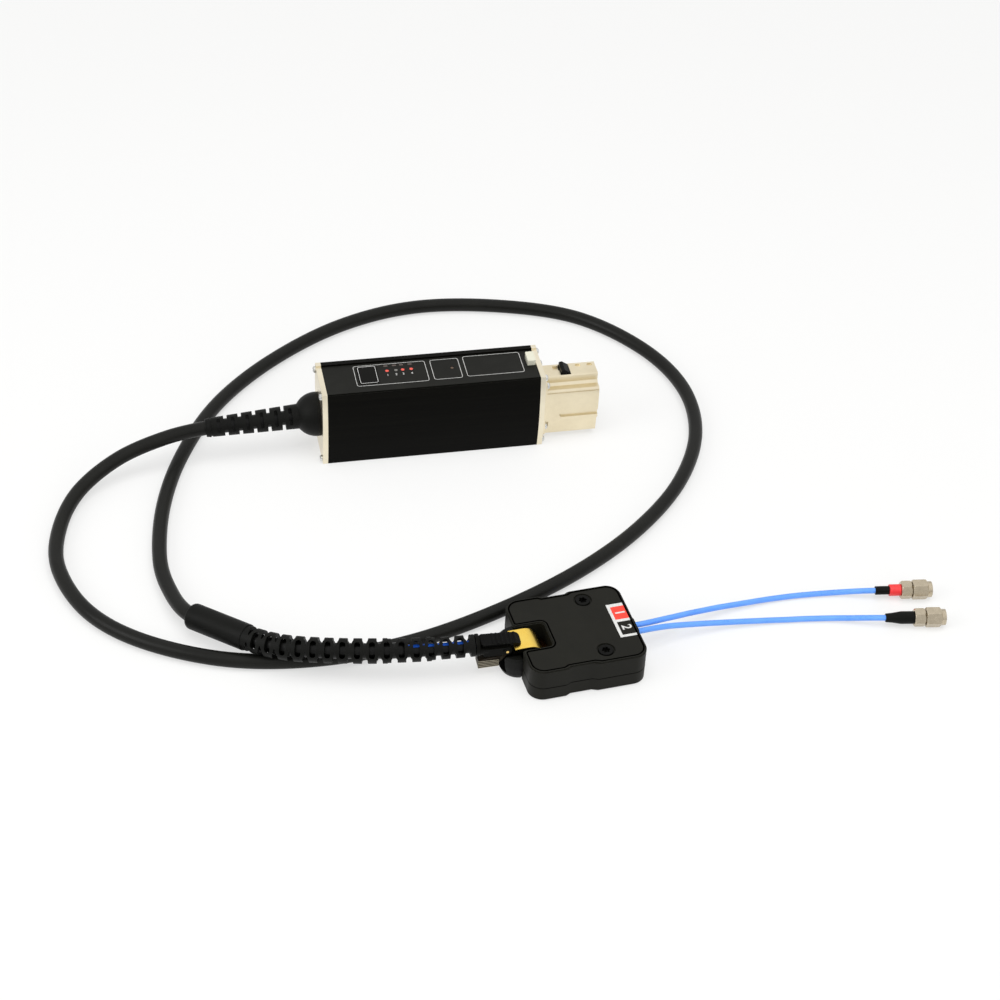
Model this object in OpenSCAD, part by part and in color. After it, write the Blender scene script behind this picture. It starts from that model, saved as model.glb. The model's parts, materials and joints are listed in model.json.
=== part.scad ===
// Differential oscilloscope probe: a compensation box with its instrument plug, a cable
// with a flexible head, and a coaxial adapter that the head's clip holds by a gold tongue.
// Origin: centre of the box's underside. +X runs towards the instrument plug, +Z is up.

/* [Compensation box] */
// Length of the box over its end plates
box_len = 107; // [100:1:116]
// Width of the box at its top and bottom edges
box_w = 25.4; // [24.6:0.2:27]
// Height of the box
box_h = 41.3; // [41:0.1:43]
// Bow of each long side at mid-height
side_bow = 1.6; // [1:0.1:2.2]
// Wall of the extruded housing
box_wall = 2; // [1.6:0.1:2.4]
// Thickness of each end plate
plate_t = 2.5; // [2:0.1:3]
// Width of the raised rail on the top's far edge
rail_w = 2.6; // [2:0.1:3]
// Height of that rail over the label
rail_h = 0.8; // [0.5:0.1:1]

/* [Instrument plug] */
// Length of the plug past the end plate
nose_len = 27.5; // [26:0.5:30]
// Width of the plug's wide lower body
nose_w = 20.4; // [19:0.2:21]
// Width of its narrow top
nose_top_w = 9.8; // [9.6:0.2:10.6]
// Travel of the release button and latch
latch_travel = 2.2; // [1.8:0.1:2.4]

/* [Cable and reliefs] */
// Outside diameter of the main cable
cable_d = 6.8; // [6.4:0.1:6.8]
// Radius of the ball boot on the box
ball_r = 10.6; // [10:0.1:11]
// Downward slope of the box relief, in degrees
boot_droop = 3; // [0:0.5:5]
// Outside diameter of the sleeve behind the head relief
sleeve_d = 11.8; // [11:0.2:12]
// Wall of the head relief
relief_wall = 1.7; // [1.4:0.1:1.9]

/* [Adapter] */
// Length of the adapter, along the leads
adapter_len = 52.4; // [49:0.2:54]
// Width of the adapter
adapter_w = 47; // [44:0.2:48]
// Height of the adapter
adapter_h = 16.4; // [16:0.1:17]
// Height of the joint between its two shells
adapter_split = 6.9; // [6.4:0.1:7.2]
// Width of the notch that takes the clip
notch_w = 15; // [14.6:0.2:16]
// Depth of that notch
notch_depth = 13.7; // [13.2:0.1:14.2]

/* [Coaxial leads] */
// Outside diameter of each blue lead
coax_d = 2.6; // [2.4:0.1:2.6]
// Width across the flats of the coupling nuts
nut_af = 8; // [7.8:0.1:8]

/* [Hidden] */
$fn = 64;

// Fits and fine sizes that every part shares
gap = 0.3;
skin = 0.02;

// Box
half_len = box_len / 2;
shell_len = box_len - 2 * plate_t;
deck_z = box_h - rail_h;
label_t = 0.4;
label_half = shell_len / 2 - 0.2;
label_y = [-12.2, 9.9];
bow_r = (pow(box_h / 2, 2) + pow(side_bow, 2)) / (2 * side_bow);
screw_y = 11;
screw_z = [2.3, box_h - 2.6];
screw_r = 1;
screw_head_r = 1.6;
screw_head_h = 1.3;
flange_t = 1.6;
flange_screw_at = [9.3, 8.5, 32.6];

// Controls on the top
mode_at = [-30, 0.7];
mode_size = [9, 13.6];
led_x = [-20.6, -16.5, -13.1, -9];
led_y = 6.9;
led_size = [2.2, 1.3];
warning_at = [10.6, 1.1];
board_top = 36.2;
release_at = [half_len - 4.8, 1.65];
release_size = [4, 7.5];

// Instrument plug
nose_x = half_len;
nose_end = half_len + nose_len;
nose_top = 34.6;
nose_bottom = 3;
hook_x = [63.3, 67.6];
hook_y = [-3.9, 3.6];
plate_z = [31, 32.4];
latch_floor = plate_z[0] - latch_travel - 0.6;
jack_z = 19.5;
jack_r = 4.2;

// Boot and cable
ball_x = -half_len - 1.4;
ball_z = box_h / 2;
relief_len = 52.6;
slot_pitch = 6.8;
slot_turn = 40;
cable_r = cable_d / 2;

// Head relief: two arcs in one tilted plane that starts at the sleeve
relief_start = [-103.2, -139.45, 11.1];
relief_tilt = [-5.4, -6.07, -43.8];
tight_r = 54;
tight_a = 26.7;
wide_r = 255;
wide_a = 16.62;
tight_len = tight_r * tight_a * PI / 180;
wide_len = wide_r * wide_a * PI / 180;
cell_count = 16;
cell_pitch = (tight_len + wide_len) / cell_count;
sleeve_len = 31;
cell_turn = -38;

// Clip head: its own frame has its origin where the relief ends
head_at = [-9, -163.5, 15.55];
pin_at = [13.7, 0, -1.3];
pin_r = 0.6;
barrel_r = 1.7;
clip_half_w = 3;
jaw_x = 15.6;
jaw_z = [-3.4, -0.1];

// Adapter
adapter_at = [36.2, -160.25, 0];
adapter_turn = 5.08;
corner_r = 6.5;
notch_y = -0.45;
waist = [[-10.8, -8.6, 0.8, 3.5], [-9.5, -7.7, 1.6, 3.6]];
waist_depth = 1.1;
panel_inset = 1;
panel_t = 1.4;
screw_at = [[8.5, -15.85], [8.5, 16.55]];
lead_y = [1.45, -2.55];
lead_z = 10.5;
grommet_y = (lead_y[0] + lead_y[1]) / 2;
tongue_t = 0.45;
tongue_w = 12;
tongue_y = -0.65;
tongue_in_z = 8.2;
tongue_top = 16.15;

// Connectors: each frame has its origin at the hex flange's rear face, +X to the mating end
connector_z = nut_af / 2;
connector_at = [[190.8, -145, connector_z], [190.7, -163.5, connector_z]];
connector_turn = [-6.5, -7.5];
flange_len = 4.9;
flange_af = 7.3;
nut_len = 6.9;
nut_ring = 2;

// Routes, in world millimetres. The first and last points only steer the ends.
main_route = [
  [-87, 0, 18.97], [-107.43, 0, 17.9], [-128, -3, 16], [-150, -8.5, 10.5], [-169, -23, 5],
  [-179, -47, 3.4], [-180.5, -74, 3.4], [-169.4, -104, 3.4], [-147, -126.7, 3.4], [-112, -143.7, 3.25],
  [-73, -149.2, 3.25], [-32, -144.5, 3.4], [10, -130.2, 3.4], [50, -110, 3.4], [84, -85, 3.4],
  [111.5, -54.5, 3.4], [129, -19, 3.4], [132.3, 18, 3.4], [120, 53.5, 3.4], [92.5, 85, 3.4],
  [53, 101, 3.4], [10, 105.6, 3.4], [-30, 94.5, 3.4], [-68, 69.5, 3.4], [-98.5, 37.5, 3.4],
  [-119, 0, 3.4], [-131, -37, 3.4], [-135.6, -74, 3.4], [-132.4, -99.6, 4.8], [-125.5, -118.1, 7.8],
  [-111.2, -131.8, 9.9]
];
coax_a_route = [
  [49.4, -154.6, 9.7], [63.8, -156.3, 10.5], [79.3, -151.9, 8.2], [97.7, -145.8, 4.9],
  [115.6, -141.9, 2.8], [139.1, -139, 1.4], [161.4, -139.9, 1.8], [179.2, -143.7, 4],
  [197.2, -144, 1.8]
];
coax_b_route = [
  [50.1, -159.3, 9.6], [64.2, -160.3, 10.5], [78, -156.8, 8.2], [95.4, -154.1, 4.9],
  [112.4, -153.1, 2.8], [134.7, -153.6, 1.4], [156.1, -156.3, 1.8], [178, -161.8, 4],
  [199.7, -162, 1.8]
];

// ---------- Shared shapes ----------

// A point on the smooth curve through b and c, a and d steering it
function between(a, b, c, d, t) =
  b + (c - a) * t / 2 + (2 * a - 5 * b + 4 * c - d) * t * t / 2
  + (3 * b - a - 3 * c + d) * t * t * t / 2;

// The route's points with steps of them on each stretch, without the two steering points
function smooth(route, steps) = [
  for (i = [1:len(route) - 3], k = [0:steps - 1])
    between(route[i - 1], route[i], route[i + 1], route[i + 2], k / steps),
  route[len(route) - 2]
];

// Direction of the path at point i, with the first and last directions given
function heading(path, i, first, last) =
  let (v = i == 0 ? first : i == len(path) - 1 ? last : path[i + 1] - path[i - 1]) v / norm(v);

// A closed tube of the given radius along a path that never runs straight up
module sweep(path, radius, sides, first, last) {
  rings = [for (i = [0:len(path) - 1])
    let (t = heading(path, i, first, last), across = cross(t, [0, 0, 1]),
         n = across / norm(across), up = cross(n, t))
    [for (k = [0:sides - 1]) path[i] + radius * (cos(360 * k / sides) * n + sin(360 * k / sides) * up)]];
  points = [for (ring = rings) each ring];
  last_ring = (len(path) - 1) * sides;
  skin_faces = [for (i = [0:len(path) - 2], k = [0:sides - 1])
    let (a = i * sides + k, b = i * sides + (k + 1) % sides)
    each [[a, b, a + sides], [b, b + sides, a + sides]]];
  caps = [for (k = [1:sides - 2]) each [[0, k + 1, k], [last_ring, last_ring + k, last_ring + k + 1]]];
  polyhedron(points, concat(skin_faces, caps));
}

// A cord on its route, cut square at both ends
module cord(route, radius, sides) {
  last = len(route) - 1;
  sweep(smooth(route, 2), radius, sides, route[1] - route[0], route[last] - route[last - 1]);
}

// Turns a shape built along +Z to lie along +X
module along_x() {
  rotate([0, 90, 0]) children();
}

// A flat outline in Y and Z, as thick as len along +X from x
module slab(x, len) {
  translate([x, 0, 0]) rotate([90, 0, 90]) linear_extrude(len) children();
}

// A flat outline in X and Z, as wide as w, centred on y = 0
module across(w) {
  rotate([90, 0, 0]) linear_extrude(w, center = true) children();
}

// A rectangle with round corners
module rounded(size, r) {
  square([size[0] - 2 * r, size[1]], center = true);
  square([size[0], size[1] - 2 * r], center = true);
  for (x = [-1, 1], y = [-1, 1])
    translate([x * (size[0] / 2 - r), y * (size[1] / 2 - r)]) circle(r);
}

// A slot with round ends, len long in all and w wide
module stadium(len, w) {
  square([len - w, w], center = true);
  for (x = [-1, 1]) translate([x * (len - w) / 2, 0]) circle(w / 2);
}

// A pan-head screw that points along -X, with its head's seat at x = 0
module pan_screw(shank) {
  difference() {
    along_x() {
      cylinder(r = screw_head_r, h = screw_head_h - 0.5);
      translate([0, 0, screw_head_h - 0.5]) cylinder(r1 = screw_head_r, r2 = screw_head_r - 0.5, h = 0.5);
    }
    translate([screw_head_h - 0.6, 0, 0]) along_x() cylinder(r = 0.7, h = 1, $fn = 6);
  }
  translate([-shank, 0, 0]) along_x() cylinder(r = screw_r, h = shank + skin);
}

// A coil spring of round wire, standing on z = 0
module coil(turns, height, radius, wire_r, rings) {
  count = turns * rings;
  path = [for (i = [0:count]) let (a = 360 * i / rings) [radius * cos(a), radius * sin(a), height * i / count]];
  sweep(path, wire_r, 6, path[1] - path[0], path[count] - path[count - 1]);
}

// ---------- Compensation box ----------

module box_profile(inset = 0) {
  reach = bow_r - box_w / 2 - side_bow;
  intersection() {
    translate([reach, box_h / 2]) circle(bow_r - inset, $fn = 240);
    translate([-reach, box_h / 2]) circle(bow_r - inset, $fn = 240);
    translate([-box_w, inset]) square([2 * box_w, box_h - 2 * inset]);
  }
}

// The box's outline with the lowered deck beside the rail
module outer_profile(deck) {
  difference() {
    box_profile();
    translate([-box_w, deck]) square([box_w + box_w / 2 - rail_w, box_h]);
  }
}

module at_corners() {
  for (y = [-screw_y, screw_y], z = screw_z) translate([0, y, z]) children();
}

module at_flange_screws() {
  for (y = [-1, 1], z = [flange_screw_at[1], flange_screw_at[2]])
    translate([nose_x, y * flange_screw_at[0], z]) children();
}

module top_window(at, size, r, depth) {
  translate([at[0], at[1], deck_z - depth]) linear_extrude(depth + 1) rounded(size, r);
}

// The release button's way, open towards the end plate
module release_window() {
  translate([release_at[0] - release_size[0] / 2 - gap, release_at[1] - release_size[1] / 2 - gap, deck_z - 4])
    cube([10, release_size[1] + 2 * gap, 5]);
}

module housing() {
  top_wall = deck_z - label_t - 1.8;
  color([0.07, 0.07, 0.07]) difference() {
    slab(-shell_len / 2, shell_len) difference() {
      outer_profile(deck_z - label_t);
      difference() {
        intersection() {
          box_profile(box_wall);
          translate([-box_w, box_wall]) square([2 * box_w, top_wall - box_wall]);
        }
        for (y = [-screw_y, screw_y], z = screw_z) translate([y, z]) circle(2.2);
        // Guides that hold the board's lower edge
        for (y = [-5.6, -2.2]) translate([y, 0]) square([1.2, 4.5]);
      }
    }
    for (x = [-shell_len / 2 - 1, shell_len / 2 - 7]) translate([x, 0, 0])
      at_corners() along_x() cylinder(r = screw_r + 0.05, h = 8);
    top_window(mode_at, mode_size + [0.6, 0.6], 1.5, 4);
    for (x = led_x) top_window([x, led_y], led_size + [0.3, 0.3], 0.4, 4);
    translate([warning_at[0], warning_at[1], deck_z - 4]) cylinder(r = 0.95, h = 5);
    release_window();
  }
}

module plate_screw_holes(x) {
  translate([x - 1, 0, 0]) at_corners() along_x() cylinder(r = screw_r + 0.1, h = plate_t + 2);
}

module cable_end_plate() {
  color([0.8, 0.76, 0.66]) difference() {
    slab(-half_len, plate_t) outer_profile(deck_z);
    plate_screw_holes(-half_len);
    translate([-half_len - 1, 0, ball_z]) along_x() cylinder(r = 7, h = plate_t + 2);
  }
}

module nose_end_plate() {
  color([0.8, 0.76, 0.66]) {
    difference() {
      slab(half_len - plate_t, plate_t) outer_profile(deck_z);
      plate_screw_holes(half_len - plate_t);
      at_flange_screws() translate([-plate_t - 1, 0, 0]) along_x()
        cylinder(r = screw_r + 0.05, h = plate_t + 2);
      // Way through for the latch, and below it for the signal and contact leads
      translate([half_len - plate_t - 1, -3.2, latch_floor]) cube([plate_t + 2, 6.4, 5.2]);
      translate([half_len - plate_t - 1, -5, 12]) cube([plate_t + 2, 10, 12]);
    }
    // Shelf that the latch spring stands on
    translate([half_len - plate_t - 5.5, -3.5, 24.6]) cube([5.5 + skin, 7, 1.4]);
  }
}

module cable_end_screws() {
  color([0.8, 0.8, 0.78]) translate([-half_len, 0, 0]) at_corners() mirror([1, 0, 0]) pan_screw(6);
}

module nose_end_screws() {
  color([0.8, 0.8, 0.78]) translate([half_len, 0, 0]) at_corners() pan_screw(6);
}

module control_label() {
  color([0.1, 0.1, 0.1]) difference() {
    translate([-label_half, label_y[0], deck_z - label_t])
      cube([2 * label_half, label_y[1] - label_y[0], label_t]);
    top_window(mode_at, mode_size + [0.6, 0.6], 1.5, 2);
    for (x = led_x) top_window([x, led_y], led_size + [0.3, 0.3], 0.4, 2);
    translate([warning_at[0], warning_at[1], deck_z - 2]) cylinder(r = 0.95, h = 3);
    release_window();
  }
}

module mode_button() {
  color([0.12, 0.12, 0.12]) translate([mode_at[0], mode_at[1], 0]) {
    translate([0, 0, 38]) linear_extrude(deck_z + 0.15 - 38) rounded(mode_size, 1.2);
    // Flange under the housing's wall that keeps the button in
    translate([0, 0, 37.7]) linear_extrude(0.4) rounded(mode_size + [1.6, 1.6], 1.2);
  }
}

module mode_switch() {
  color([0.2, 0.2, 0.22]) translate([mode_at[0], mode_at[1], board_top]) {
    translate([-3, -3, 0]) cube([6, 6, 0.7]);
    cylinder(r = 1.5, h = 1);
  }
}

module mode_leds() {
  color([0.45, 0.3, 0.22]) for (x = led_x) translate([x, led_y, board_top])
    linear_extrude(deck_z - 0.1 - board_top) rounded(led_size, 0.3);
}

module warning_led() {
  color([0.5, 0.33, 0.12]) translate([warning_at[0], warning_at[1], board_top])
    cylinder(r = 0.8, h = deck_z - 0.1 - board_top);
}

module control_board() {
  color([0.1, 0.3, 0.16]) translate([-40, -8, board_top - 1.2]) cube([56, 17, 1.2]);
}

module main_board() {
  color([0.1, 0.3, 0.16]) {
    translate([-48, -4.3, 2.2]) cube([91, 1.6, 29]);
    // Header that carries the control board
    translate([-5, -4.3, 31]) cube([20, 3, board_top - 1.2 - 31]);
  }
}

module shield_can() {
  color([0.75, 0.75, 0.73]) {
    translate([-42, -2.7, 9]) cube([38, 5, 18]);
    for (x = [4, 20]) translate([x, -2.7, 11]) cube([10, 1.4, 10]);
  }
}

// ---------- Latch ----------

module release_button() {
  color([0.86, 0.86, 0.77]) translate([release_at[0], release_at[1], 0]) {
    translate([0, 0, 38]) linear_extrude(43 - 38) rounded(release_size, 0.8);
    translate([-0.4, 0, 37]) linear_extrude(1.1) rounded(release_size + [0.8, 2.2], 0.8);
    translate([0, -release_at[1], plate_z[1]]) linear_extrude(37 - plate_z[1] + skin)
      square([3.2, 4.6], center = true);
  }
}

module latch_plate() {
  color([0.7, 0.7, 0.7]) translate([45.6, -2.6, plate_z[0]])
    cube([hook_x[1] - 45.6, 5.2, plate_z[1] - plate_z[0]]);
}

module latch_hook() {
  top = nose_top + 2.4;
  color([0.05, 0.05, 0.05]) translate([0, (hook_y[0] + hook_y[1]) / 2, 0]) across(hook_y[1] - hook_y[0])
    polygon([[hook_x[0], plate_z[1]], [hook_x[1], plate_z[1]], [hook_x[1], nose_top + 0.5],
             [hook_x[0] + 1.5, top], [hook_x[0], top - 0.4]]);
}

module latch_spring() {
  color([0.7, 0.7, 0.72]) translate([48.3, 0, 26.2]) coil(4, plate_z[0] - 26.4, 1.7, 0.2, 10);
}

// ---------- Instrument plug ----------

// Half of the plug's section from its top to its bottom, mirrored by nose_profile
function nose_edge() = [
  [nose_top_w / 2 - 0.5, nose_top], [nose_top_w / 2, nose_top - 0.5], [nose_top_w / 2, 30.8],
  [nose_top_w / 2 + 1.2, 29.6], [nose_w / 2 - 1, 29.6], [nose_w / 2 - 0.2, 28.8],
  [nose_w / 2, 26], [nose_w / 2, 12], [nose_w / 2 - 1.4, 11], [nose_w / 2 - 2.2, nose_bottom]
];

module nose_profile() {
  edge = nose_edge();
  far = [for (i = [len(edge) - 1:-1:0]) [-edge[i][0], edge[i][1]]];
  polygon(concat(edge, far));
}

module nose_body() {
  color([0.85, 0.8, 0.68]) difference() {
    union() {
      slab(nose_x, nose_len) nose_profile();
      // Flange that the four inner screws hold
      slab(nose_x, flange_t) translate([0, (nose_top + nose_bottom) / 2])
        rounded([21.8, nose_top - nose_bottom], 2.7);
    }
    // Guide groove in each side, open at the end
    for (side = [-1, 1]) translate([nose_x + 9.9, side * nose_w / 2, 15.1]) across(2) {
      translate([0, -1.4]) square([nose_len, 2.8]);
      circle(1.4);
    }
    // Fine line under the ledge
    for (side = [-1, 1]) translate([nose_x + flange_t, side * nose_w / 2 - 0.5, 28]) cube([nose_len, 1, 0.4]);
    // Latch way, the hook's window and the recess behind it
    translate([nose_x - 1, -3.2, latch_floor]) cube([hook_x[1] - nose_x + 1.6, 6.4, 5]);
    translate([hook_x[0] - 0.4, hook_y[0] - 0.35, latch_floor])
      cube([hook_x[1] - hook_x[0] + 0.8, hook_y[1] - hook_y[0] + 0.7, 10]);
    translate([60, -0.5, nose_top - 1]) cube([4, 3.6, 2]);
    for (x = [72.5, 78.3]) translate([x, 2.4, nose_top - 0.7]) linear_extrude(2) stadium(2.6, 1.9);
    // Socket round the signal jack, and the leads' way behind it
    translate([nose_end - 9, 0, jack_z]) along_x() cylinder(r = jack_r + 1.8, h = 10);
    translate([nose_x - 1, 0, jack_z]) along_x() cylinder(r = jack_r, h = nose_len);
    // Contact block's seat
    translate([nose_end - 7, -7, 5.6]) cube([8, 14, 4.6]);
    translate([nose_x - 1, -4, 6.4]) cube([nose_len, 8, 3]);
    at_flange_screws() {
      translate([-1, 0, 0]) along_x() cylinder(r = screw_r + 0.1, h = flange_t + 2);
      translate([flange_t, 0, 0]) along_x() cylinder(r = screw_head_r + 0.2, h = screw_head_h + 0.6);
    }
  }
}

module nose_screws() {
  color([0.8, 0.8, 0.78]) at_flange_screws() translate([flange_t, 0, 0]) pan_screw(4);
}

module nose_jack() {
  color([0.83, 0.68, 0.35]) difference() {
    union() {
      translate([nose_x, 0, jack_z]) along_x() cylinder(r = jack_r - 0.1, h = nose_len - 1);
      translate([nose_end - 9, 0, jack_z]) along_x() cylinder(r = jack_r + 0.8, h = 2);
    }
    translate([nose_end - 8, 0, jack_z]) along_x() cylinder(r = jack_r - 0.9, h = 9);
    translate([nose_x - 1, 0, jack_z]) along_x() cylinder(r = 2.1, h = nose_len);
  }
}

module nose_jack_insulator() {
  color([0.93, 0.93, 0.9]) difference() {
    translate([nose_x, 0, jack_z]) along_x() cylinder(r = 2.05, h = nose_len - 6);
    translate([nose_x - 1, 0, jack_z]) along_x() cylinder(r = 0.65, h = nose_len);
  }
}

module nose_jack_contact() {
  color([0.9, 0.72, 0.3]) translate([nose_x, 0, jack_z]) {
    along_x() cylinder(r = 0.6, h = nose_len - 3.5);
    translate([nose_len - 3.5, 0, 0]) along_x() cylinder(r1 = 0.6, r2 = 0.25, h = 0.8);
  }
}

module contact_block() {
  color([0.12, 0.12, 0.12]) difference() {
    union() {
      translate([nose_end - 7, -6.8, 5.8]) cube([6.4, 13.6, 4.2]);
      translate([nose_x, -3.8, 6.6]) cube([nose_len - 6, 7.6, 2.6]);
    }
    for (i = [0:5]) translate([nose_end - 3.4, -6 + 2.1 * i, 6.9]) cube([4, 1.4, 2]);
  }
  color([0.9, 0.72, 0.3]) for (i = [0:5])
    translate([nose_end - 3.4 - skin, -5.7 + 2.1 * i, 7.3]) cube([2.2, 0.8, 1.2]);
}

// ---------- Ball boot and segmented relief ----------

// The boot's own frame: origin at the ball's centre, +X out along the relief
module boot_frame() {
  translate([ball_x, 0, ball_z]) rotate([0, 180 - boot_droop, 0]) children();
}

module relief_cone(from, to, r1, r2) {
  translate([from, 0, 0]) along_x() cylinder(r1 = r1, r2 = r2, h = to - from);
}

// Slot pair across the relief, one on each side of it: turn 0 opens front and back
module slot_pair(at, turn, len, w, floor_r) {
  translate([at, 0, 0]) rotate([turn, 0, 0]) for (side = [-1, 1])
    translate([0, side * (floor_r + 4), 0]) rotate([90, 0, 0])
      linear_extrude(8, center = true) rotate([0, 0, 90]) stadium(len, w);
}

module box_boot() {
  color([0.06, 0.06, 0.06]) difference() {
    union() {
      intersection() {
        translate([ball_x, 0, ball_z]) sphere(ball_r);
        translate([-half_len - 30, -20, 0]) cube([30, 40, box_h]);
      }
      // Neck through the plate and the flange that holds it from inside
      translate([-half_len - 1, 0, ball_z]) along_x() cylinder(r = 6.9, h = plate_t + 1.5);
      translate([-half_len + plate_t, 0, ball_z]) along_x() cylinder(r = 9, h = 1.6);
      boot_frame() {
        relief_cone(8, relief_len - 3, 6, 4.6);
        relief_cone(relief_len - 3 - skin, relief_len - 2.2, 4.2, 4.2);
        relief_cone(relief_len - 2.2 - skin, relief_len - 1.4, 4.6, 4.6);
        relief_cone(relief_len - 1.4 - skin, relief_len, 4.5, 4.3);
      }
    }
    boot_frame() {
      translate([-8, 0, 0]) along_x() cylinder(r = cable_r + 0.05, h = relief_len + 9);
      for (i = [0:5]) slot_pair(12.4 + slot_pitch * i, slot_turn, 8.2 - 0.25 * i, 1.7, 2.9);
      for (i = [0:4]) slot_pair(15.8 + slot_pitch * i, slot_turn + 90, 14, 1.7, 2.4);
    }
  }
}

module boot_cable() {
  color([0.05, 0.05, 0.05]) boot_frame()
    translate([-6, 0, 0]) along_x() cylinder(r = cable_r, h = relief_len + 6);
}

module main_cable() {
  color([0.06, 0.06, 0.06]) cord(main_route, cable_r, 10);
}

// ---------- Sleeve and head relief ----------

// The relief's frame: origin where the sleeve ends, +X along the relief's first direction
module relief_frame() {
  translate(relief_start) rotate(relief_tilt) children();
}

// Moves a shape along the relief's centre line by a distance from its start
module along_relief(s) {
  past = s - tight_len;
  if (past <= 0) bend(tight_r, s) children();
  else bend(tight_r, tight_len) bend(wide_r, past) children();
}

module bend(r, s) {
  translate([0, r, 0]) rotate([0, 0, s / r * 180 / PI]) translate([0, -r, 0]) children();
}

// An outline in Y and Z drawn along an arc that starts along +X and turns left
module bent(r, s) {
  translate([0, r, 0]) rotate([0, 0, -90]) rotate_extrude(angle = s / r * 180 / PI, $fn = 360)
    translate([r, 0]) children();
}

// The same outline along the whole relief
module through_relief() {
  bent(tight_r, tight_len) children();
  bend(tight_r, tight_len) bent(wide_r, wide_len) children();
}

module ring(r, wall) {
  difference() {
    circle(r);
    circle(r - wall);
  }
}

// Open cells first to last, cut from a bent tube, with the slots between them a quarter turn on
module relief_cells(first, last) {
  for (k = [first:last]) along_relief((k + 0.5) * cell_pitch) slot_pair(0, cell_turn + 90, 8.6, 2.6, 1.6);
  for (k = [first:last + 1]) if (k > 0 && k < cell_count)
    along_relief(k * cell_pitch) slot_pair(0, cell_turn, 7.4, 2.6, 1.6);
}

module head_relief() {
  outer = [5.5, 5.45, 5.2, 4.8];
  half_wide = wide_len / 2;
  quarter = wide_len / 4;
  color([0.06, 0.06, 0.06]) relief_frame() {
    difference() {
      bent(tight_r, tight_len) ring(outer[0], relief_wall);
      relief_cells(0, 3);
    }
    difference() {
      bend(tight_r, tight_len) bent(wide_r, half_wide) ring(outer[1], relief_wall);
      relief_cells(4, 9);
    }
    difference() {
      bend(tight_r, tight_len) bend(wide_r, half_wide) bent(wide_r, quarter) ring(outer[2], relief_wall);
      relief_cells(10, 12);
    }
    difference() {
      bend(tight_r, tight_len) bend(wide_r, half_wide + quarter) bent(wide_r, quarter)
        ring(outer[3], relief_wall);
      relief_cells(13, 15);
    }
  }
}

module head_coax_pair() {
  color([0.2, 0.45, 0.85]) relief_frame() for (at = [[-1.57, 0.05], [-0.33, -1.53]])
    through_relief() translate(at) circle(0.9);
}

module head_wires() {
  color([0.08, 0.08, 0.08]) relief_frame() for (at = [[0.16, 1.59], [1.58, -0.23]])
    through_relief() translate(at) circle(1.1);
}

module cable_sleeve() {
  r = sleeve_d / 2;
  fillet = 2.2;
  color([0.06, 0.06, 0.06]) relief_frame() rotate([0, -90, 0]) rotate_extrude() difference() {
    union() {
      square([r, sleeve_len - fillet]);
      square([r - fillet, sleeve_len]);
      translate([r - fillet, sleeve_len - fillet]) circle(fillet);
    }
    translate([-fillet, -1]) square([fillet, sleeve_len + 2]);
    translate([-r, -r]) square([2 * r, r]);
  }
}

// ---------- Clip head ----------

module head_frame() {
  translate(head_at) children();
}

module head_collar() {
  color([0.07, 0.07, 0.07]) head_frame() difference() {
    union() {
      translate([0.2, 0, 0]) along_x() cylinder(r1 = 4.5, r2 = 4.9, h = 0.5);
      translate([0.7, 0, 0]) along_x() cylinder(r = 4.9, h = 1.35);
    }
    translate([-1, 0, 0]) along_x() cylinder(r = 3, h = 4);
  }
}

module head_body() {
  color([0.07, 0.07, 0.07]) head_frame() difference() {
    union() {
      translate([2.1, 0, 0]) along_x() intersection() {
        cylinder(r = 4.6, h = 3.5);
        translate([-1.2, -6, 0]) cube([6, 12, 4]);
      }
      translate([3.6, -4.4, -3.4]) cube([5.9, 8.8, 4.6]);
      // Cheeks that carry the pin, with a lip along their top edge
      for (side = [-1, 1]) translate([0, side * 3.8, 0]) {
        across(1.2) union() {
          translate([8, -3.4]) square([3.8, 4.6]);
          translate([8, -0.6]) square([7.2, 1.8]);
          translate([pin_at[0], pin_at[2]]) circle(2.2);
        }
        translate([3.6, side > 0 ? 0 : -0.95, 0.3]) cube([11.6, 0.95, 0.7]);
        translate([0, side * 0.7, 0]) across(0.8) translate([pin_at[0], pin_at[2]]) circle(1.7);
      }
    }
    // Room for the small board, open at the front
    translate([3, -3.4, -0.9]) cube([8, 6.8, 1.3]);
    translate([pin_at[0], 0, pin_at[2]]) across(12) circle(pin_r + 0.02);
    translate([1, 0, 0]) along_x() cylinder(r = 2.4, h = 4);
  }
}

module head_board() {
  color([0.1, 0.3, 0.16]) head_frame() translate([5.2, -3.2, -0.7]) cube([4.2, 6.4, 0.8]);
}

module upper_jaw() {
  rib_count = 6;
  rib_pitch = 1.93;
  color([0.06, 0.06, 0.06]) head_frame() intersection() {
    union() {
      across(7) polygon([[2.2, 1.2], [2.2, 2.5], [3, 2.9], [17.6, 2.3], [19.4, 1.7], [20, 1.2], [20, 0.8],
                         [16.2, 0.8], [15.4, 1.2]]);
      // Grip ribs across the jaw's front half
      for (i = [0:rib_count - 1]) translate([7.9 + rib_pitch * i, 0, 2.35 - 0.08 * i])
        across(6.6) circle(0.75);
    }
    translate([11.1, 0, 0]) linear_extrude(6) rounded([17.8, 7], 1.6);
  }
}

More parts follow.
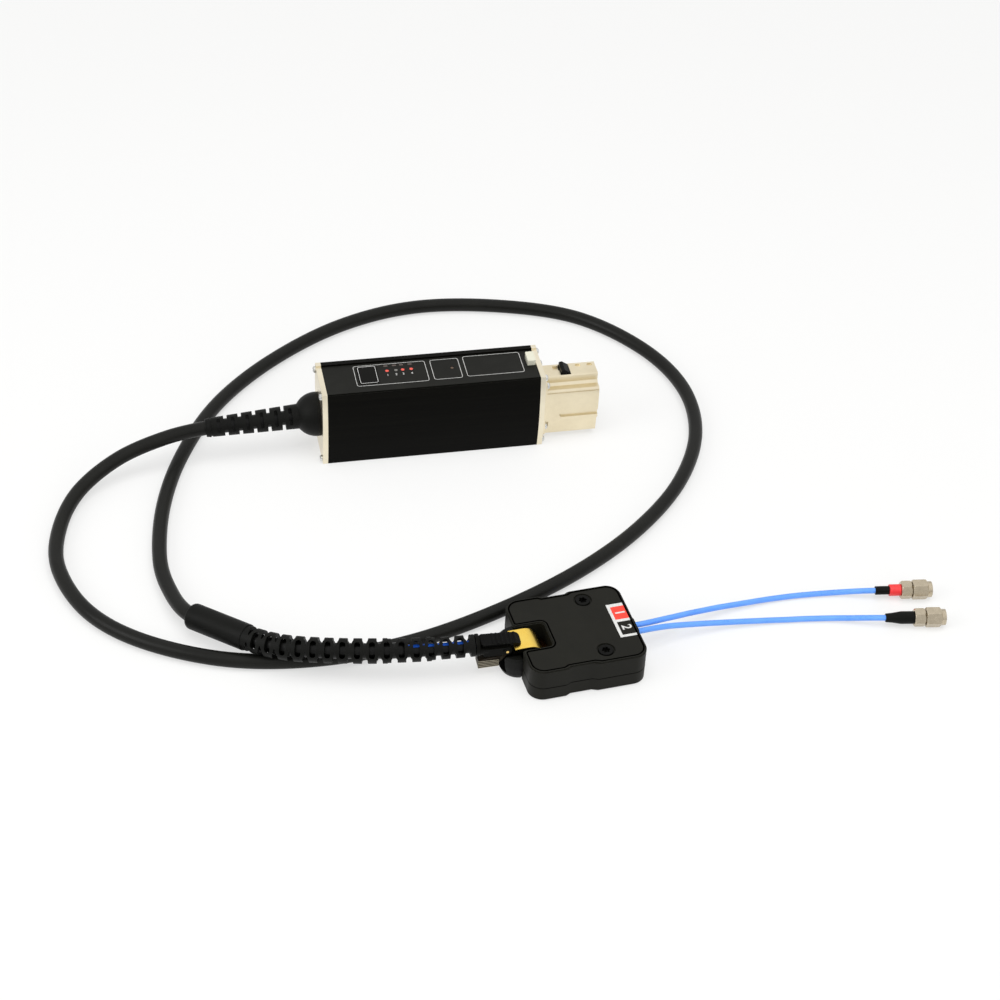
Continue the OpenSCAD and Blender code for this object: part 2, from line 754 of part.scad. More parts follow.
module lower_lever() {
  rear = [1.5, -6.8, -11];
  front = [11.6, -5.2, -7.6];
  groove_count = 5;
  color([0.82, 0.79, 0.7]) head_frame() difference() {
    union() {
      across(2 * clip_half_w) polygon([
        [4.6, -5.8], [rear[0], rear[1]], [rear[0], rear[2] + 0.8], [rear[0] + 0.8, rear[2]], [front[0], front[2]], [14.8, -3.9],
        [jaw_x, jaw_z[0]], [jaw_x, jaw_z[1]], [14.2, jaw_z[1]], [12.1, -1.6], [11.8, front[1]]]);
      translate([pin_at[0], 0, pin_at[2]]) across(2 * clip_half_w) circle(barrel_r);
    }
    translate([pin_at[0], 0, pin_at[2]]) across(8) circle(pin_r + 0.05);
    // Pocket for the spring round the lever's hub
    translate([pin_at[0], 0, pin_at[2]]) across(2.8) difference() {
      circle(2.2);
      circle(0.9);
    }
    // Lengthwise grooves that run together towards the pin
    for (side = [-1, 1], i = [1:groove_count]) {
      f = i / (groove_count + 1);
      back_z = rear[1] + (rear[2] - rear[1]) * f;
      front_z = front[1] + (front[2] - front[1]) * f;
      translate([0, side * clip_half_w, 0]) across(1.4)
        polygon([[rear[0] - 0.5, back_z - 0.22], [front[0] - 0.4, front_z - 0.12],
                 [front[0] - 0.4, front_z + 0.12], [rear[0] - 0.5, back_z + 0.22]]);
    }
  }
}

// Moulded tip on the lever's front that presses the tongue from below
module lower_jaw() {
  color([0.07, 0.07, 0.07]) head_frame() across(2 * clip_half_w)
    polygon([[jaw_x, jaw_z[0]], [19.6, -0.9], [19.6, jaw_z[1]], [jaw_x, jaw_z[1]]]);
}

module pivot_pin() {
  color([0.8, 0.6, 0.25]) head_frame() translate([pin_at[0], 0, pin_at[2]]) across(10) circle(pin_r);
}

module clip_spring() {
  color([0.7, 0.7, 0.72]) head_frame() translate([pin_at[0], 1.1, pin_at[2]]) rotate([90, 0, 0])
    coil(3, 2.2, 1.45, 0.22, 10);
}

// ---------- Adapter ----------

module adapter_frame() {
  translate(adapter_at) rotate([0, 0, adapter_turn]) children();
}

// Plan of the adapter: round corners, a shallow waist on each long side and the clip's notch
module adapter_plan(inset = 0) {
  half_w = adapter_w / 2 - inset;
  left = -adapter_len / 2 + inset;
  notch_r = 2 + inset;
  mouth_r = 1;
  notch_x = -adapter_len / 2 + notch_depth + inset;
  notch_half = notch_w / 2 + inset;
  difference() {
    rounded([adapter_len - 2 * inset, adapter_w - 2 * inset], corner_r - inset);
    for (side = [0, 1]) mirror([0, 1 - side]) polygon([
      [waist[side][0] - inset, half_w + 1], [waist[side][0] - inset, half_w],
      [waist[side][1] - inset, half_w - waist_depth], [waist[side][2] + inset, half_w - waist_depth],
      [waist[side][3] + inset, half_w], [waist[side][3] + inset, half_w + 1]]);
    translate([0, notch_y]) {
      translate([-adapter_len, -notch_half]) square([adapter_len + notch_x - notch_r, 2 * notch_half]);
      translate([-adapter_len, -notch_half + notch_r]) square([adapter_len + notch_x, 2 * (notch_half - notch_r)]);
      for (side = [-1, 1]) translate([notch_x - notch_r, side * (notch_half - notch_r)]) circle(notch_r);
      // Round corners at the notch's mouth
      for (side = [0, 1]) mirror([0, side]) difference() {
        translate([left - 1, notch_half - 1]) square([1 + mouth_r, 1 + mouth_r]);
        translate([left + mouth_r, notch_half + mouth_r]) circle(mouth_r);
      }
    }
  }
}

module slice(from, to) {
  translate([0, 0, from]) linear_extrude(to - from) children();
}

module tongue_way() {
  translate([-15, tongue_y - tongue_w / 2 - gap, tongue_in_z - tongue_t - 0.15])
    cube([9, tongue_w + 2 * gap, tongue_t + 0.3]);
}

module grommet_way() {
  translate([adapter_len / 2 - 6, grommet_y - 4.75, 7.8]) cube([8, 9.5, 5.4]);
}

module adapter_base() {
  color([0.1, 0.1, 0.095]) adapter_frame() difference() {
    union() {
      slice(0.5, adapter_split - 0.2) adapter_plan();
      slice(0, 0.6) adapter_plan(0.5);
      slice(adapter_split - 0.3, adapter_split) adapter_plan(0.3);
    }
    slice(3, 8) translate([6, 0]) rounded([30, 25], 3);
    for (at = screw_at) translate([at[0], at[1], 2]) cylinder(r = 1.1, h = 6);
  }
}

module adapter_top() {
  rim = adapter_h - panel_t;
  color([0.1, 0.1, 0.095]) adapter_frame() difference() {
    union() {
      slice(adapter_split + 0.15, adapter_h - 0.6) adapter_plan();
      slice(adapter_h - 0.7, adapter_h) adapter_plan(0.45);
      slice(adapter_split, adapter_split + 0.3) adapter_plan(0.3);
    }
    slice(rim, adapter_h + 1) adapter_plan(panel_inset);
    slice(adapter_split - 1, 13.2) translate([6, 0]) rounded([30, 25], 3);
    for (at = screw_at) translate([at[0], at[1], 2]) cylinder(r = 2.5, h = 20);
    tongue_way();
    grommet_way();
  }
}

module adapter_cover() {
  top = adapter_h - 0.1;
  color([0.12, 0.12, 0.115]) adapter_frame() difference() {
    slice(adapter_h - panel_t, top) adapter_plan(panel_inset + 0.25);
    for (at = screw_at) translate([at[0], at[1], 0]) {
      cylinder(r = 2.4, h = 20);
      translate([0, 0, top - 0.9]) cylinder(r = 4, h = 2);
    }
  }
}

module adapter_screws() {
  seat = adapter_h - 1;
  color([0.09, 0.09, 0.09]) adapter_frame() for (at = screw_at)
    translate([at[0], at[1], 0]) difference() {
      union() {
        translate([0, 0, 2.5]) cylinder(r = 1, h = seat - 2.5);
        translate([0, 0, seat - 2]) cylinder(r = 2.2, h = 2);
        translate([0, 0, seat]) cylinder(r1 = 3.4, r2 = 3.1, h = 0.8);
      }
      // Six-lobed recess
      for (i = [0:2]) translate([0, 0, seat - 1]) rotate([0, 0, 60 * i])
        linear_extrude(3) stadium(3.7, 1.2);
    }
}

module adapter_board() {
  color([0.1, 0.3, 0.16]) adapter_frame() translate([-8, -11, 8.4]) cube([26, 22, 1.6]);
  color([0.75, 0.75, 0.73]) adapter_frame() for (y = lead_y) translate([14, y - 1.6, 9.9]) cube([4, 3.2, 2.6]);
}

// Points on an arc about a centre, from one angle to another
function arc(centre, r, from, to, steps) =
  [for (i = [0:steps]) let (a = from + (to - from) * i / steps) centre + r * [cos(a), sin(a)]];

module flex_tongue() {
  free_x = -29.1;
  bend_r = 6.5;
  crest = [-22.3, tongue_top - bend_r];
  entry_r = crest[1] - tongue_in_z;
  dip = [crest[0] + bend_r + entry_r, crest[1]];
  // Upper face from the free end: flat, down over the bend, then through the dip into the shell
  upper = concat([[free_x, tongue_top]], arc(crest, bend_r, 90, 0, 14),
                 arc(dip, entry_r, 180, 270, 6), [[-6.2, tongue_in_z]]);
  lower = concat([[free_x, tongue_top - tongue_t]], arc(crest, bend_r - tongue_t, 90, 0, 14),
                 arc(dip, entry_r + tongue_t, 180, 270, 6), [[-6.2, tongue_in_z - tongue_t]]);
  color([0.95, 0.72, 0.25]) adapter_frame() translate([0, tongue_y, 0])
    across(tongue_w) polygon(concat(upper, [for (i = [len(lower) - 1:-1:0]) lower[i]]));
}

module clip_cradle() {
  cup_x = -25.7;
  channel_half = 5.2;
  left = -adapter_len / 2;
  color([0.08, 0.08, 0.08]) adapter_frame() translate([0, notch_y, 0]) difference() {
    union() {
      intersection() {
        translate([cup_x, 0, 0]) union() {
          rotate_extrude() polygon([[0, 0], [7.2, 0], [8.2, 2], [9, 6], [9.3, 10.6], [8.5, 11.5], [0, 11.5]]);
          // Ear that stands higher beside the tongue
          intersection() {
            rotate_extrude() polygon([[0, 5], [9.2, 5], [9.6, 10], [9.7, 14.6], [8.9, 15.5], [0, 15.5]]);
            translate([-6.1, 0, 0]) cube([12, 12, 20]);
          }
        }
        translate([left - 40, -20, -1]) cube([40 - 0.05, 40, 30]);
      }
      slice(0, 7) translate([left - 1, -4.7]) square([notch_depth + 1 - gap, 9.4]);
    }
    // Channel that the clip's lower lever lies in
    translate([-adapter_len, -channel_half, 2.5]) cube([adapter_len - 18.2, 2 * channel_half, 20]);
  }
}

module coax_grommet() {
  out = 1.5;
  color([0.07, 0.07, 0.07]) adapter_frame() difference() {
    union() {
      translate([adapter_len / 2 - 5.8, grommet_y - 4.55, 8]) cube([5.8, 9.1, 5]);
      translate([adapter_len / 2 - skin, grommet_y, 10.5]) along_x() linear_extrude(out) rounded([5, 9.1], 1);
    }
    for (y = lead_y) translate([adapter_len / 2 - 8, y, lead_z]) along_x()
      cylinder(r = coax_d / 2 - 0.05, h = 12);
  }
}

// ---------- Leads and connectors ----------

module coax_a() {
  color([0.38, 0.62, 0.97]) cord(coax_a_route, coax_d / 2, 8);
}

module coax_b() {
  color([0.38, 0.62, 0.97]) cord(coax_b_route, coax_d / 2, 8);
}

module connector_frame(i) {
  translate(connector_at[i]) rotate([0, 0, connector_turn[i]]) children();
}

module lead_boots() {
  color([0.06, 0.06, 0.06]) {
    connector_frame(0) translate([-11.6, 0, 0]) along_x() cylinder(r = 1.95, h = 6.4);
    connector_frame(1) {
      translate([-12.8, 0, 0]) along_x() cylinder(r1 = 1.95, r2 = 2.2, h = 3);
      translate([-9.8, 0, 0]) along_x() cylinder(r1 = 2.2, r2 = 2.85, h = 4);
      translate([-5.8, 0, 0]) along_x() cylinder(r = 2.85, h = 5.8);
    }
  }
}

module channel_band() {
  color([0.85, 0.2, 0.17]) connector_frame(0) translate([-5.2, 0, 0]) along_x() cylinder(r = 2.65, h = 5.2);
}

// A hexagon bar along +X with its corners turned off at both ends
module hex_bar(af, len) {
  corner = af / sqrt(3) - 0.02;
  face_r = af / 2 - 0.1;
  turned = 0.6;
  intersection() {
    rotate([30, 0, 0]) along_x() cylinder(r = af / sqrt(3), h = len, $fn = 6);
    along_x() {
      cylinder(r1 = face_r, r2 = corner, h = turned);
      translate([0, 0, turned]) cylinder(r = corner, h = len - 2 * turned);
      translate([0, 0, len - turned]) cylinder(r1 = corner, r2 = face_r, h = turned);
    }
  }
}

module connector_body(i) {
  color([0.72, 0.7, 0.64]) connector_frame(i) difference() {
    union() {
      hex_bar(flange_af, flange_len);
      translate([flange_len - skin, 0, 0]) along_x() cylinder(r = 2.5, h = 3);
      translate([flange_len + 2.9, 0, 0]) along_x() cylinder(r = 2.28, h = 3.6);
    }
    translate([1, 0, 0]) along_x() cylinder(r = 1.46, h = 12);
    // Groove that holds the snap ring
    translate([flange_len + 0.9, 0, 0]) along_x() difference() {
      cylinder(r = 3, h = 0.7);
      translate([0, 0, -1]) cylinder(r = 2.2, h = 3);
    }
  }
}

module connector_body_a() {
  connector_body(0);
}

module connector_body_b() {
  connector_body(1);
}

module coupling_nut(i) {
  start = flange_len + gap;
  color([0.66, 0.65, 0.62]) connector_frame(i) difference() {
    union() {
      translate([start, 0, 0]) hex_bar(nut_af, nut_len);
      translate([start + nut_len - skin, 0, 0]) along_x() cylinder(r = 3.65, h = nut_ring);
    }
    translate([start - 1, 0, 0]) along_x() cylinder(r = 2.56, h = 4);
    translate([flange_len + 0.7, 0, 0]) along_x() cylinder(r = 2.95, h = 1.1);
    translate([flange_len + 3.1, 0, 0]) along_x() cylinder(r = 2.95, h = 12);
  }
}

module coupling_nut_a() {
  coupling_nut(0);
}

module coupling_nut_b() {
  coupling_nut(1);
}

module snap_rings() {
  color([0.7, 0.6, 0.4]) for (i = [0, 1]) connector_frame(i) translate([flange_len + 1, 0, 0]) difference() {
    along_x() cylinder(r = 2.8, h = 0.5);
    translate([-1, 0, 0]) along_x() cylinder(r = 2.3, h = 3);
    translate([-1, -0.4, 0]) cube([3, 0.8, 4]);
  }
}

module dielectric_beads() {
  color([0.9, 0.9, 0.86]) for (i = [0, 1]) connector_frame(i) difference() {
    translate([3, 0, 0]) along_x() cylinder(r = 1.44, h = 1.6);
    along_x() cylinder(r = 0.47, h = 8);
  }
}

module centre_pins() {
  color([0.9, 0.72, 0.3]) for (i = [0, 1]) connector_frame(i) {
    translate([1.2, 0, 0]) along_x() cylinder(r = 0.46, h = 10.6);
    translate([11.8, 0, 0]) along_x() cylinder(r1 = 0.46, r2 = 0.2, h = 0.8);
  }
}

housing();
cable_end_plate();
nose_end_plate();
cable_end_screws();
nose_end_screws();
control_label();
mode_button();
mode_switch();
mode_leds();
warning_led();
control_board();
main_board();
shield_can();
release_button();
latch_plate();
latch_hook();
latch_spring();
nose_body();
nose_screws();
nose_jack();
nose_jack_insulator();
nose_jack_contact();
contact_block();
box_boot();
boot_cable();
main_cable();
cable_sleeve();
head_relief();
head_coax_pair();
head_wires();
head_collar();
head_body();
head_board();
upper_jaw();
lower_lever();
lower_jaw();
pivot_pin();
clip_spring();
clip_cradle();
flex_tongue();
adapter_base();
adapter_top();
adapter_cover();
adapter_screws();
adapter_board();
coax_grommet();
coax_a();
coax_b();
lead_boots();
channel_band();
connector_body_a();
connector_body_b();
coupling_nut_a();
coupling_nut_b();
snap_rings();
dielectric_beads();
centre_pins();
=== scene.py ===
import json
import math

import bpy
from mathutils import Matrix, Vector

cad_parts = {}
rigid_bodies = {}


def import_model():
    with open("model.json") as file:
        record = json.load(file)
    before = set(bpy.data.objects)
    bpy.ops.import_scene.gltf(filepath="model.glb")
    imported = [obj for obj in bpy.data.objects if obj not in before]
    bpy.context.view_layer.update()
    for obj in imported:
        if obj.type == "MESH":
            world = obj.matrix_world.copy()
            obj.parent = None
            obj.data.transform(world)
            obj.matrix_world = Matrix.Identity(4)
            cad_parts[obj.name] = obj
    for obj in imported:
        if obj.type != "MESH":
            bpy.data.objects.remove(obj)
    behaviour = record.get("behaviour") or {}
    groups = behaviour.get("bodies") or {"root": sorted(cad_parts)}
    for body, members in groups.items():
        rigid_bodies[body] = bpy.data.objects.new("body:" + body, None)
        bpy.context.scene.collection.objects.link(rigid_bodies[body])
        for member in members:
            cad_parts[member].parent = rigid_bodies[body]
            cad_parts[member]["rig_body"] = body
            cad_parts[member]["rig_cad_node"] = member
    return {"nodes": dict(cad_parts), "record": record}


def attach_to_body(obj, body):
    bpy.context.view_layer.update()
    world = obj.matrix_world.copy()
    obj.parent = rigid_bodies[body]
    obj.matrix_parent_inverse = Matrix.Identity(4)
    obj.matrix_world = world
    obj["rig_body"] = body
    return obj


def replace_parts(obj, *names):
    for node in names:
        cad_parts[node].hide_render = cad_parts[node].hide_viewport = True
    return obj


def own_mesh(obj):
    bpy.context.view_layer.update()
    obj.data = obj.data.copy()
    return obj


MM = 0.001
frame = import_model()
NODES = frame["nodes"]
BODY_OF = {n: b for b, members in frame["record"]["behaviour"]["bodies"].items() for n in members}
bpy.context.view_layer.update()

# Heights and places that the CAD pieces share, in millimetres. The screws and the inside of the adapter are
# from its middle, before its turn.
LABEL_Z = 40.5
COVER_Z = 16.3
PARTING_Z = 6.9
HEAD_AT = (-9, -163.5, 15.55)
ADAPTER_AT = (36.2, -160.25)
ADAPTER_TURN = math.radians(5.08)
ADAPTER_SCREWS = ((8.5, -15.85), (8.5, 16.55))
SCREW_HOLE = 5
ADAPTER_INSIDE = ((-11, 22), (-13, 13))
CONNECTOR_AT = ((190.8, -145.0, 4.0), (190.7, -163.5, 4.0))
CONNECTOR_TURN = (math.radians(-6.5), math.radians(-7.5))

# The camera: its turn, tilt and roll in degrees, the point it looks at in millimetres, its distance from
# that point in metres, and its lens
CAMERA_TURNS = (-13.14, 39.6, 3.05)
CAMERA_TARGET = (25.11, -51.56, 0)
CAMERA_DISTANCE = 1.0504
CAMERA_LENS = 80.28

# The head relief: where it starts, how it tilts in degrees, and its two arcs as radius and length
RELIEF_START = (-103.2, -139.45, 11.1)
RELIEF_TILT = (-5.4, -6.07, -43.8)
RELIEF_ARCS = ((54, 25.1641), (255, 73.9681))
RELIEF_LENGTH = sum(length for _, length in RELIEF_ARCS)
RELIEF_CELLS = 16
RELIEF_TURN = 52

# The ovals that slim its bars: half their width, how long they are and how far out they lie, and half their
# height up to each distance from the start
OVAL_WIDTH = 1.38
OVAL_DEPTH = 5.6
OVAL_OUT = 4.1
OVAL_HEIGHTS = ((56, 5.3), (80, 5.0), (RELIEF_LENGTH, 4.6))

# The sheath inside it: where it thins and over what length, its two radii, and how far the thin part lies
# to the front and down
SHEATH_END = 68
SHEATH_TAPER = 4
SHEATH_RADII = (3.4, 2.6)
SHEATH_SHIFT = (-0.33, -0.38)
SHEATH_STEPS = 64

# Ridges along the clip's lower lever, from the head's middle: how many, where they start and end as x and
# the heights of the top one and the bottom one, and the width and height of a ridge and of a dark bar of
# painted shade that stands for a groove
LEVER_ROWS = 5
LEVER_REAR = (1.5, -7.0, -10.75)
LEVER_FRONT = (10.6, -7.0, -10.3)
RIDGE_SIZE = (6.5, 0.4)
GROOVE_SIZE = (6.2, 0.56)

# Printed marks: how thick the ink lies, how wide the outlines are, and where the mode lamps and the
# numerals beside them stand
INK = 0.03
OUTLINE = 0.22
LIT_LAMPS = (-20.5, -13.0, -8.9)
UNLIT_LAMPS = (-16.2,)
LAMP_Y = 2.8
LAMP_RADIUS = 0.85
NUMERALS_X = (-20.6, -16.5, -13.1, -9.0)
NUMERALS_Y = -0.6

# Light, in metres and watts: how strong the sky is, where the lamps point, and each lamp's place, size
# and power
SKY_LIGHT = 0.45
LAMPS_AIM = (0, -0.05, 0)
SOFT_BOXES = {
    "overhead": ((0.1, -0.35, 1.5), 1.4, 17.0),
    "left_box": ((-1.3, -0.4, 0.9), 0.9, 7.0),
    "front_box": ((0.7, -1.5, 0.8), 0.9, 5.0),
}

# The thread inside each coupling nut: its radius, a ridge's radius, the pitch, where the first ridge is and
# how many there are
THREAD_RADIUS = 2.95
THREAD_RIDGE = 0.2
THREAD_PITCH = 0.7
THREAD_START = 8.6
THREAD_TURNS = 7

# How near points of a CAD piece are welded, in metres, how flat faces are that become one, and how sharp
# edges are that get a round
WELD = 2e-6
FLAT = math.radians(0.4)
SHARP = math.radians(32)

# Cord routes, in millimetres. The first and last points only steer the ends.
MAIN_ROUTE = [
    (-87, 0, 18.97), (-107.43, 0, 17.9), (-128, -3, 16), (-150, -8.5, 10.5), (-169, -23, 5),
    (-179, -47, 3.4), (-180.5, -74, 3.4), (-169.4, -104, 3.4), (-147, -126.7, 3.4), (-112, -143.7, 3.4),
    (-73, -149.2, 3.4), (-32, -144.5, 3.4), (10, -130.2, 3.4), (50, -110, 3.4), (84, -85, 3.4),
    (111.5, -54.5, 3.4), (129, -19, 3.4), (132.3, 18, 3.4), (120, 53.5, 3.4), (92.5, 85, 3.4),
    (53, 101, 3.4), (10, 105.6, 3.4), (-30, 94.5, 3.4), (-68, 69.5, 3.4), (-98.5, 37.5, 3.4),
    (-119, 0, 3.4), (-131, -37, 3.4), (-135.6, -74, 3.4), (-132.4, -99.6, 4.8), (-125.5, -118.1, 7.8),
    (-111.2, -131.8, 9.9),
]
COAX_A_ROUTE = [
    (56.5, -155.4, 10.1), (63.8, -156.3, 10.5), (71, -154.7, 9.7), (77.9, -152.3, 8.4),
    (84.9, -150, 7.2), (91.8, -147.6, 5.9), (98.8, -145.5, 4.7), (106, -143.7, 3.8),
    (113.2, -142.3, 3), (120.5, -141.1, 2.4), (127.9, -140, 1.9), (135.2, -139.2, 1.5),
    (142.7, -138.9, 1.4), (150.1, -139, 1.4), (157.5, -139.5, 1.6), (164.8, -140.4, 2.1),
    (172, -142.2, 3.3), (179.2, -143.7, 4), (186.5, -143.8, 3.1),
]
COAX_B_ROUTE = [
    (56.8, -159.8, 10), (64.2, -160.3, 10.5), (71.2, -158.7, 9.6), (78.1, -156.8, 8.2),
    (85.1, -155.5, 6.8), (92.1, -154.5, 5.5), (99.3, -153.7, 4.3), (106.5, -153.3, 3.4),
    (113.7, -153.1, 2.7), (120.9, -153.1, 2.1), (128.2, -153.3, 1.7), (135.4, -153.7, 1.4),
    (142.7, -154.3, 1.4), (149.9, -155.2, 1.5), (157, -156.5, 1.9), (164, -158.3, 2.6),
    (170.9, -160.3, 3.6), (178, -161.8, 4), (185.4, -161.9, 3.3),
]


# ---------- Camera ----------

def place_camera():
    """A long lens from the front left, looking down at the loop of cable."""
    azimuth, elevation, roll = (math.radians(turn) for turn in CAMERA_TURNS)
    target = Vector(CAMERA_TARGET) * MM
    back = Vector((math.sin(azimuth) * math.cos(elevation),
                   -math.cos(azimuth) * math.cos(elevation), math.sin(elevation)))
    right = Vector((0, 0, 1)).cross(back).normalized()
    up = back.cross(right)
    side = right * math.cos(roll) + up * math.sin(roll)
    top = up * math.cos(roll) - right * math.sin(roll)
    data = bpy.data.cameras.new("camera")
    data.lens = CAMERA_LENS
    data.sensor_width = 36
    data.clip_start = 0.05
    data.clip_end = 20
    camera = bpy.data.objects.new("camera", data)
    bpy.context.scene.collection.objects.link(camera)
    place = Matrix((side, top, back)).transposed().to_4x4()
    place.translation = target + back * CAMERA_DISTANCE
    camera.matrix_world = place
    bpy.context.scene.camera = camera


# ---------- Building with operators ----------

def only(obj):
    """Makes obj the one selected and active object."""
    bpy.ops.object.select_all(action="DESELECT")
    obj.select_set(True)
    bpy.context.view_layer.objects.active = obj


def added(add, **values):
    """A new primitive or text, added with nothing else selected."""
    bpy.ops.object.select_all(action="DESELECT")
    add(**values)
    return bpy.context.active_object


def settle(obj):
    """Puts the piece's place, turn and size into its mesh."""
    only(obj)
    bpy.ops.object.transform_apply(location=True, rotation=True, scale=True)
    return obj


def finish_modifier(obj, kind, **values):
    """Adds a modifier with these values and applies it."""
    only(obj)
    modifier = obj.modifiers.new(kind.lower(), kind)
    for name, value in values.items():
        setattr(modifier, name, value)
    bpy.ops.object.modifier_apply(modifier=modifier.name)


def smooth_by_angle(obj, degrees=35):
    """Smooth shading, with edges sharper than this left crisp."""
    only(obj)
    bpy.ops.object.shade_smooth_by_angle(angle=math.radians(degrees))


def attach(obj, name, body, material):
    """Names a finished piece and gives it its body and its material."""
    obj.name = name
    obj.data.name = name
    obj.data.materials.clear()
    obj.data.materials.append(material)
    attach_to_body(obj, body)
    return obj


def joined(parts):
    """One object made of several."""
    only(parts[0])
    for part in parts[1:]:
        part.select_set(True)
    if len(parts) > 1:
        bpy.ops.object.join()
    return parts[0]


def copied(node):
    """A copy of a CAD piece in its place, with its triangles merged into flat faces."""
    piece = NODES[node].copy()
    piece.data = NODES[node].data.copy()
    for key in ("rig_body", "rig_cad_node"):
        if key in piece:
            del piece[key]
    piece.parent = None
    piece.matrix_world = Matrix.Identity(4)
    piece.hide_viewport = piece.hide_render = False
    bpy.context.scene.collection.objects.link(piece)
    piece.hide_set(False)
    only(piece)
    bpy.ops.object.mode_set(mode="EDIT")
    bpy.ops.mesh.select_all(action="SELECT")
    bpy.ops.mesh.remove_doubles(threshold=WELD)
    bpy.ops.mesh.dissolve_limited(angle_limit=FLAT)
    bpy.ops.object.mode_set(mode="OBJECT")
    return piece


def softened(node, width, material, segments=2, cutters=None):
    """A copy of a CAD piece with small rounds on its sharp edges, in the piece's place."""
    piece = copied(node)
    if cutters:
        finish_modifier(piece, "BOOLEAN", object=cutters, operation="DIFFERENCE", solver="EXACT")
    finish_modifier(piece, "BEVEL", width=width * MM, segments=segments, limit_method="ANGLE",
                    angle_limit=SHARP, harden_normals=False)
    smooth_by_angle(piece, 40)
    finish_modifier(piece, "WEIGHTED_NORMAL", keep_sharp=True)
    attach(piece, node + "_finished", BODY_OF[node], material)
    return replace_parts(piece, node)


def dress(node, material):
    """Gives a CAD piece that stays as it is its own material."""
    mesh = NODES[node].data
    mesh.materials.clear()
    mesh.materials.append(material)
    for polygon in mesh.polygons:
        polygon.material_index = 0


# ---------- Shader groups ----------

def link(tree, a, b):
    tree.links.new(a, b)


def new_group(name, inputs, outputs):
    """An empty node group with its sockets, and its input and output nodes."""
    tree = bpy.data.node_groups.new(name, "ShaderNodeTree")
    for label, value in inputs:
        socket = tree.interface.new_socket(label, in_out="INPUT", socket_type="NodeSocketFloat")
        socket.default_value = value
    for label, kind in outputs:
        tree.interface.new_socket(label, in_out="OUTPUT", socket_type=kind)
    return tree, tree.nodes.new("NodeGroupInput"), tree.nodes.new("NodeGroupOutput")


def noise(tree, vector, scale, detail, roughness):
    """Noise that follows a place. Its scale is a number or a socket."""
    node = tree.nodes.new("ShaderNodeTexNoise")
    node.inputs["Detail"].default_value = detail
    node.inputs["Roughness"].default_value = roughness
    link(tree, vector, node.inputs["Vector"])
    if hasattr(scale, "links"):
        link(tree, scale, node.inputs["Scale"])
    else:
        node.inputs["Scale"].default_value = scale
    return node.outputs["Fac"]


def maths(tree, operation, a, b, clamp=False):
    """Arithmetic on two numbers or sockets."""
    node = tree.nodes.new("ShaderNodeMath")
    node.operation = operation
    node.use_clamp = clamp
    for socket, value in zip(node.inputs, (a, b)):
        if hasattr(value, "links"):
            link(tree, value, socket)
        else:
            socket.default_value = value
    return node.outputs[0]


def spread(tree, value, low, high, to_low=0.0, to_high=1.0):
    """Turns values from low to high into values from to_low to to_high."""
    node = tree.nodes.new("ShaderNodeMapRange")
    link(tree, value, node.inputs["Value"])
    ends = {"From Min": low, "From Max": high, "To Min": to_low, "To Max": to_high}
    for name, number in ends.items():
        node.inputs[name].default_value = number
    return node.outputs["Result"]


def grain_group():
    """Fine moulded or cast texture, with slow mottling over it."""
    tree, given, made = new_group(
        "moulded_grain", [("Scale", 4000.0), ("Mottle Scale", 60.0)],
        [("Height", "NodeSocketFloat"), ("Mottle", "NodeSocketFloat")])
    where = tree.nodes.new("ShaderNodeTexCoord").outputs["Object"]
    fine = noise(tree, where, given.outputs["Scale"], 2.0, 0.6)
    slow = noise(tree, where, given.outputs["Mottle Scale"], 4.0, 0.6)
    link(tree, fine, made.inputs["Height"])
    link(tree, spread(tree, slow, 0.3, 0.7), made.inputs["Mottle"])
    return tree


def drawn_group():
    """Long fine lines along X, as a drawn or extruded metal surface has."""
    tree, given, made = new_group(
        "drawn_lines", [("Scale", 2600.0)],
        [("Height", "NodeSocketFloat"), ("Streak", "NodeSocketFloat")])
    where = tree.nodes.new("ShaderNodeTexCoord").outputs["Object"]
    stretch = tree.nodes.new("ShaderNodeMapping")
    stretch.inputs["Scale"].default_value = (0.012, 1.0, 1.0)
    link(tree, where, stretch.inputs["Vector"])
    lines = noise(tree, stretch.outputs["Vector"], given.outputs["Scale"], 3.0, 0.65)
    broad = noise(tree, stretch.outputs["Vector"], 420.0, 2.0, 0.5)
    link(tree, lines, made.inputs["Height"])
    link(tree, spread(tree, maths(tree, "MULTIPLY", lines, broad), 0.12, 0.4), made.inputs["Streak"])
    return tree


def wear_and_sheen_group():
    """A mask that is high on edges, from how far the rounded normal turns: worn edges on most finishes, a
    painted highlight on the jaw's rib crests.
    """
    tree, given, made = new_group(
        "edge_wear_and_sheen", [("Radius", 0.0003), ("Break-up", 900.0)], [("Mask", "NodeSocketFloat")])
    rounded = tree.nodes.new("ShaderNodeBevel")
    rounded.samples = 4
    link(tree, given.outputs["Radius"], rounded.inputs["Radius"])
    plain = tree.nodes.new("ShaderNodeNewGeometry").outputs["Normal"]
    turn = tree.nodes.new("ShaderNodeVectorMath")
    turn.operation = "DOT_PRODUCT"
    link(tree, rounded.outputs["Normal"], turn.inputs[0])
    link(tree, plain, turn.inputs[1])
    edge = spread(tree, turn.outputs["Value"], 0.995, 0.86)
    where = tree.nodes.new("ShaderNodeTexCoord").outputs["Object"]
    patches = noise(tree, where, given.outputs["Break-up"], 4.0, 0.7)
    mask = maths(tree, "MULTIPLY", edge, spread(tree, patches, 0.42, 0.66), clamp=True)
    link(tree, mask, made.inputs["Mask"])
    return tree


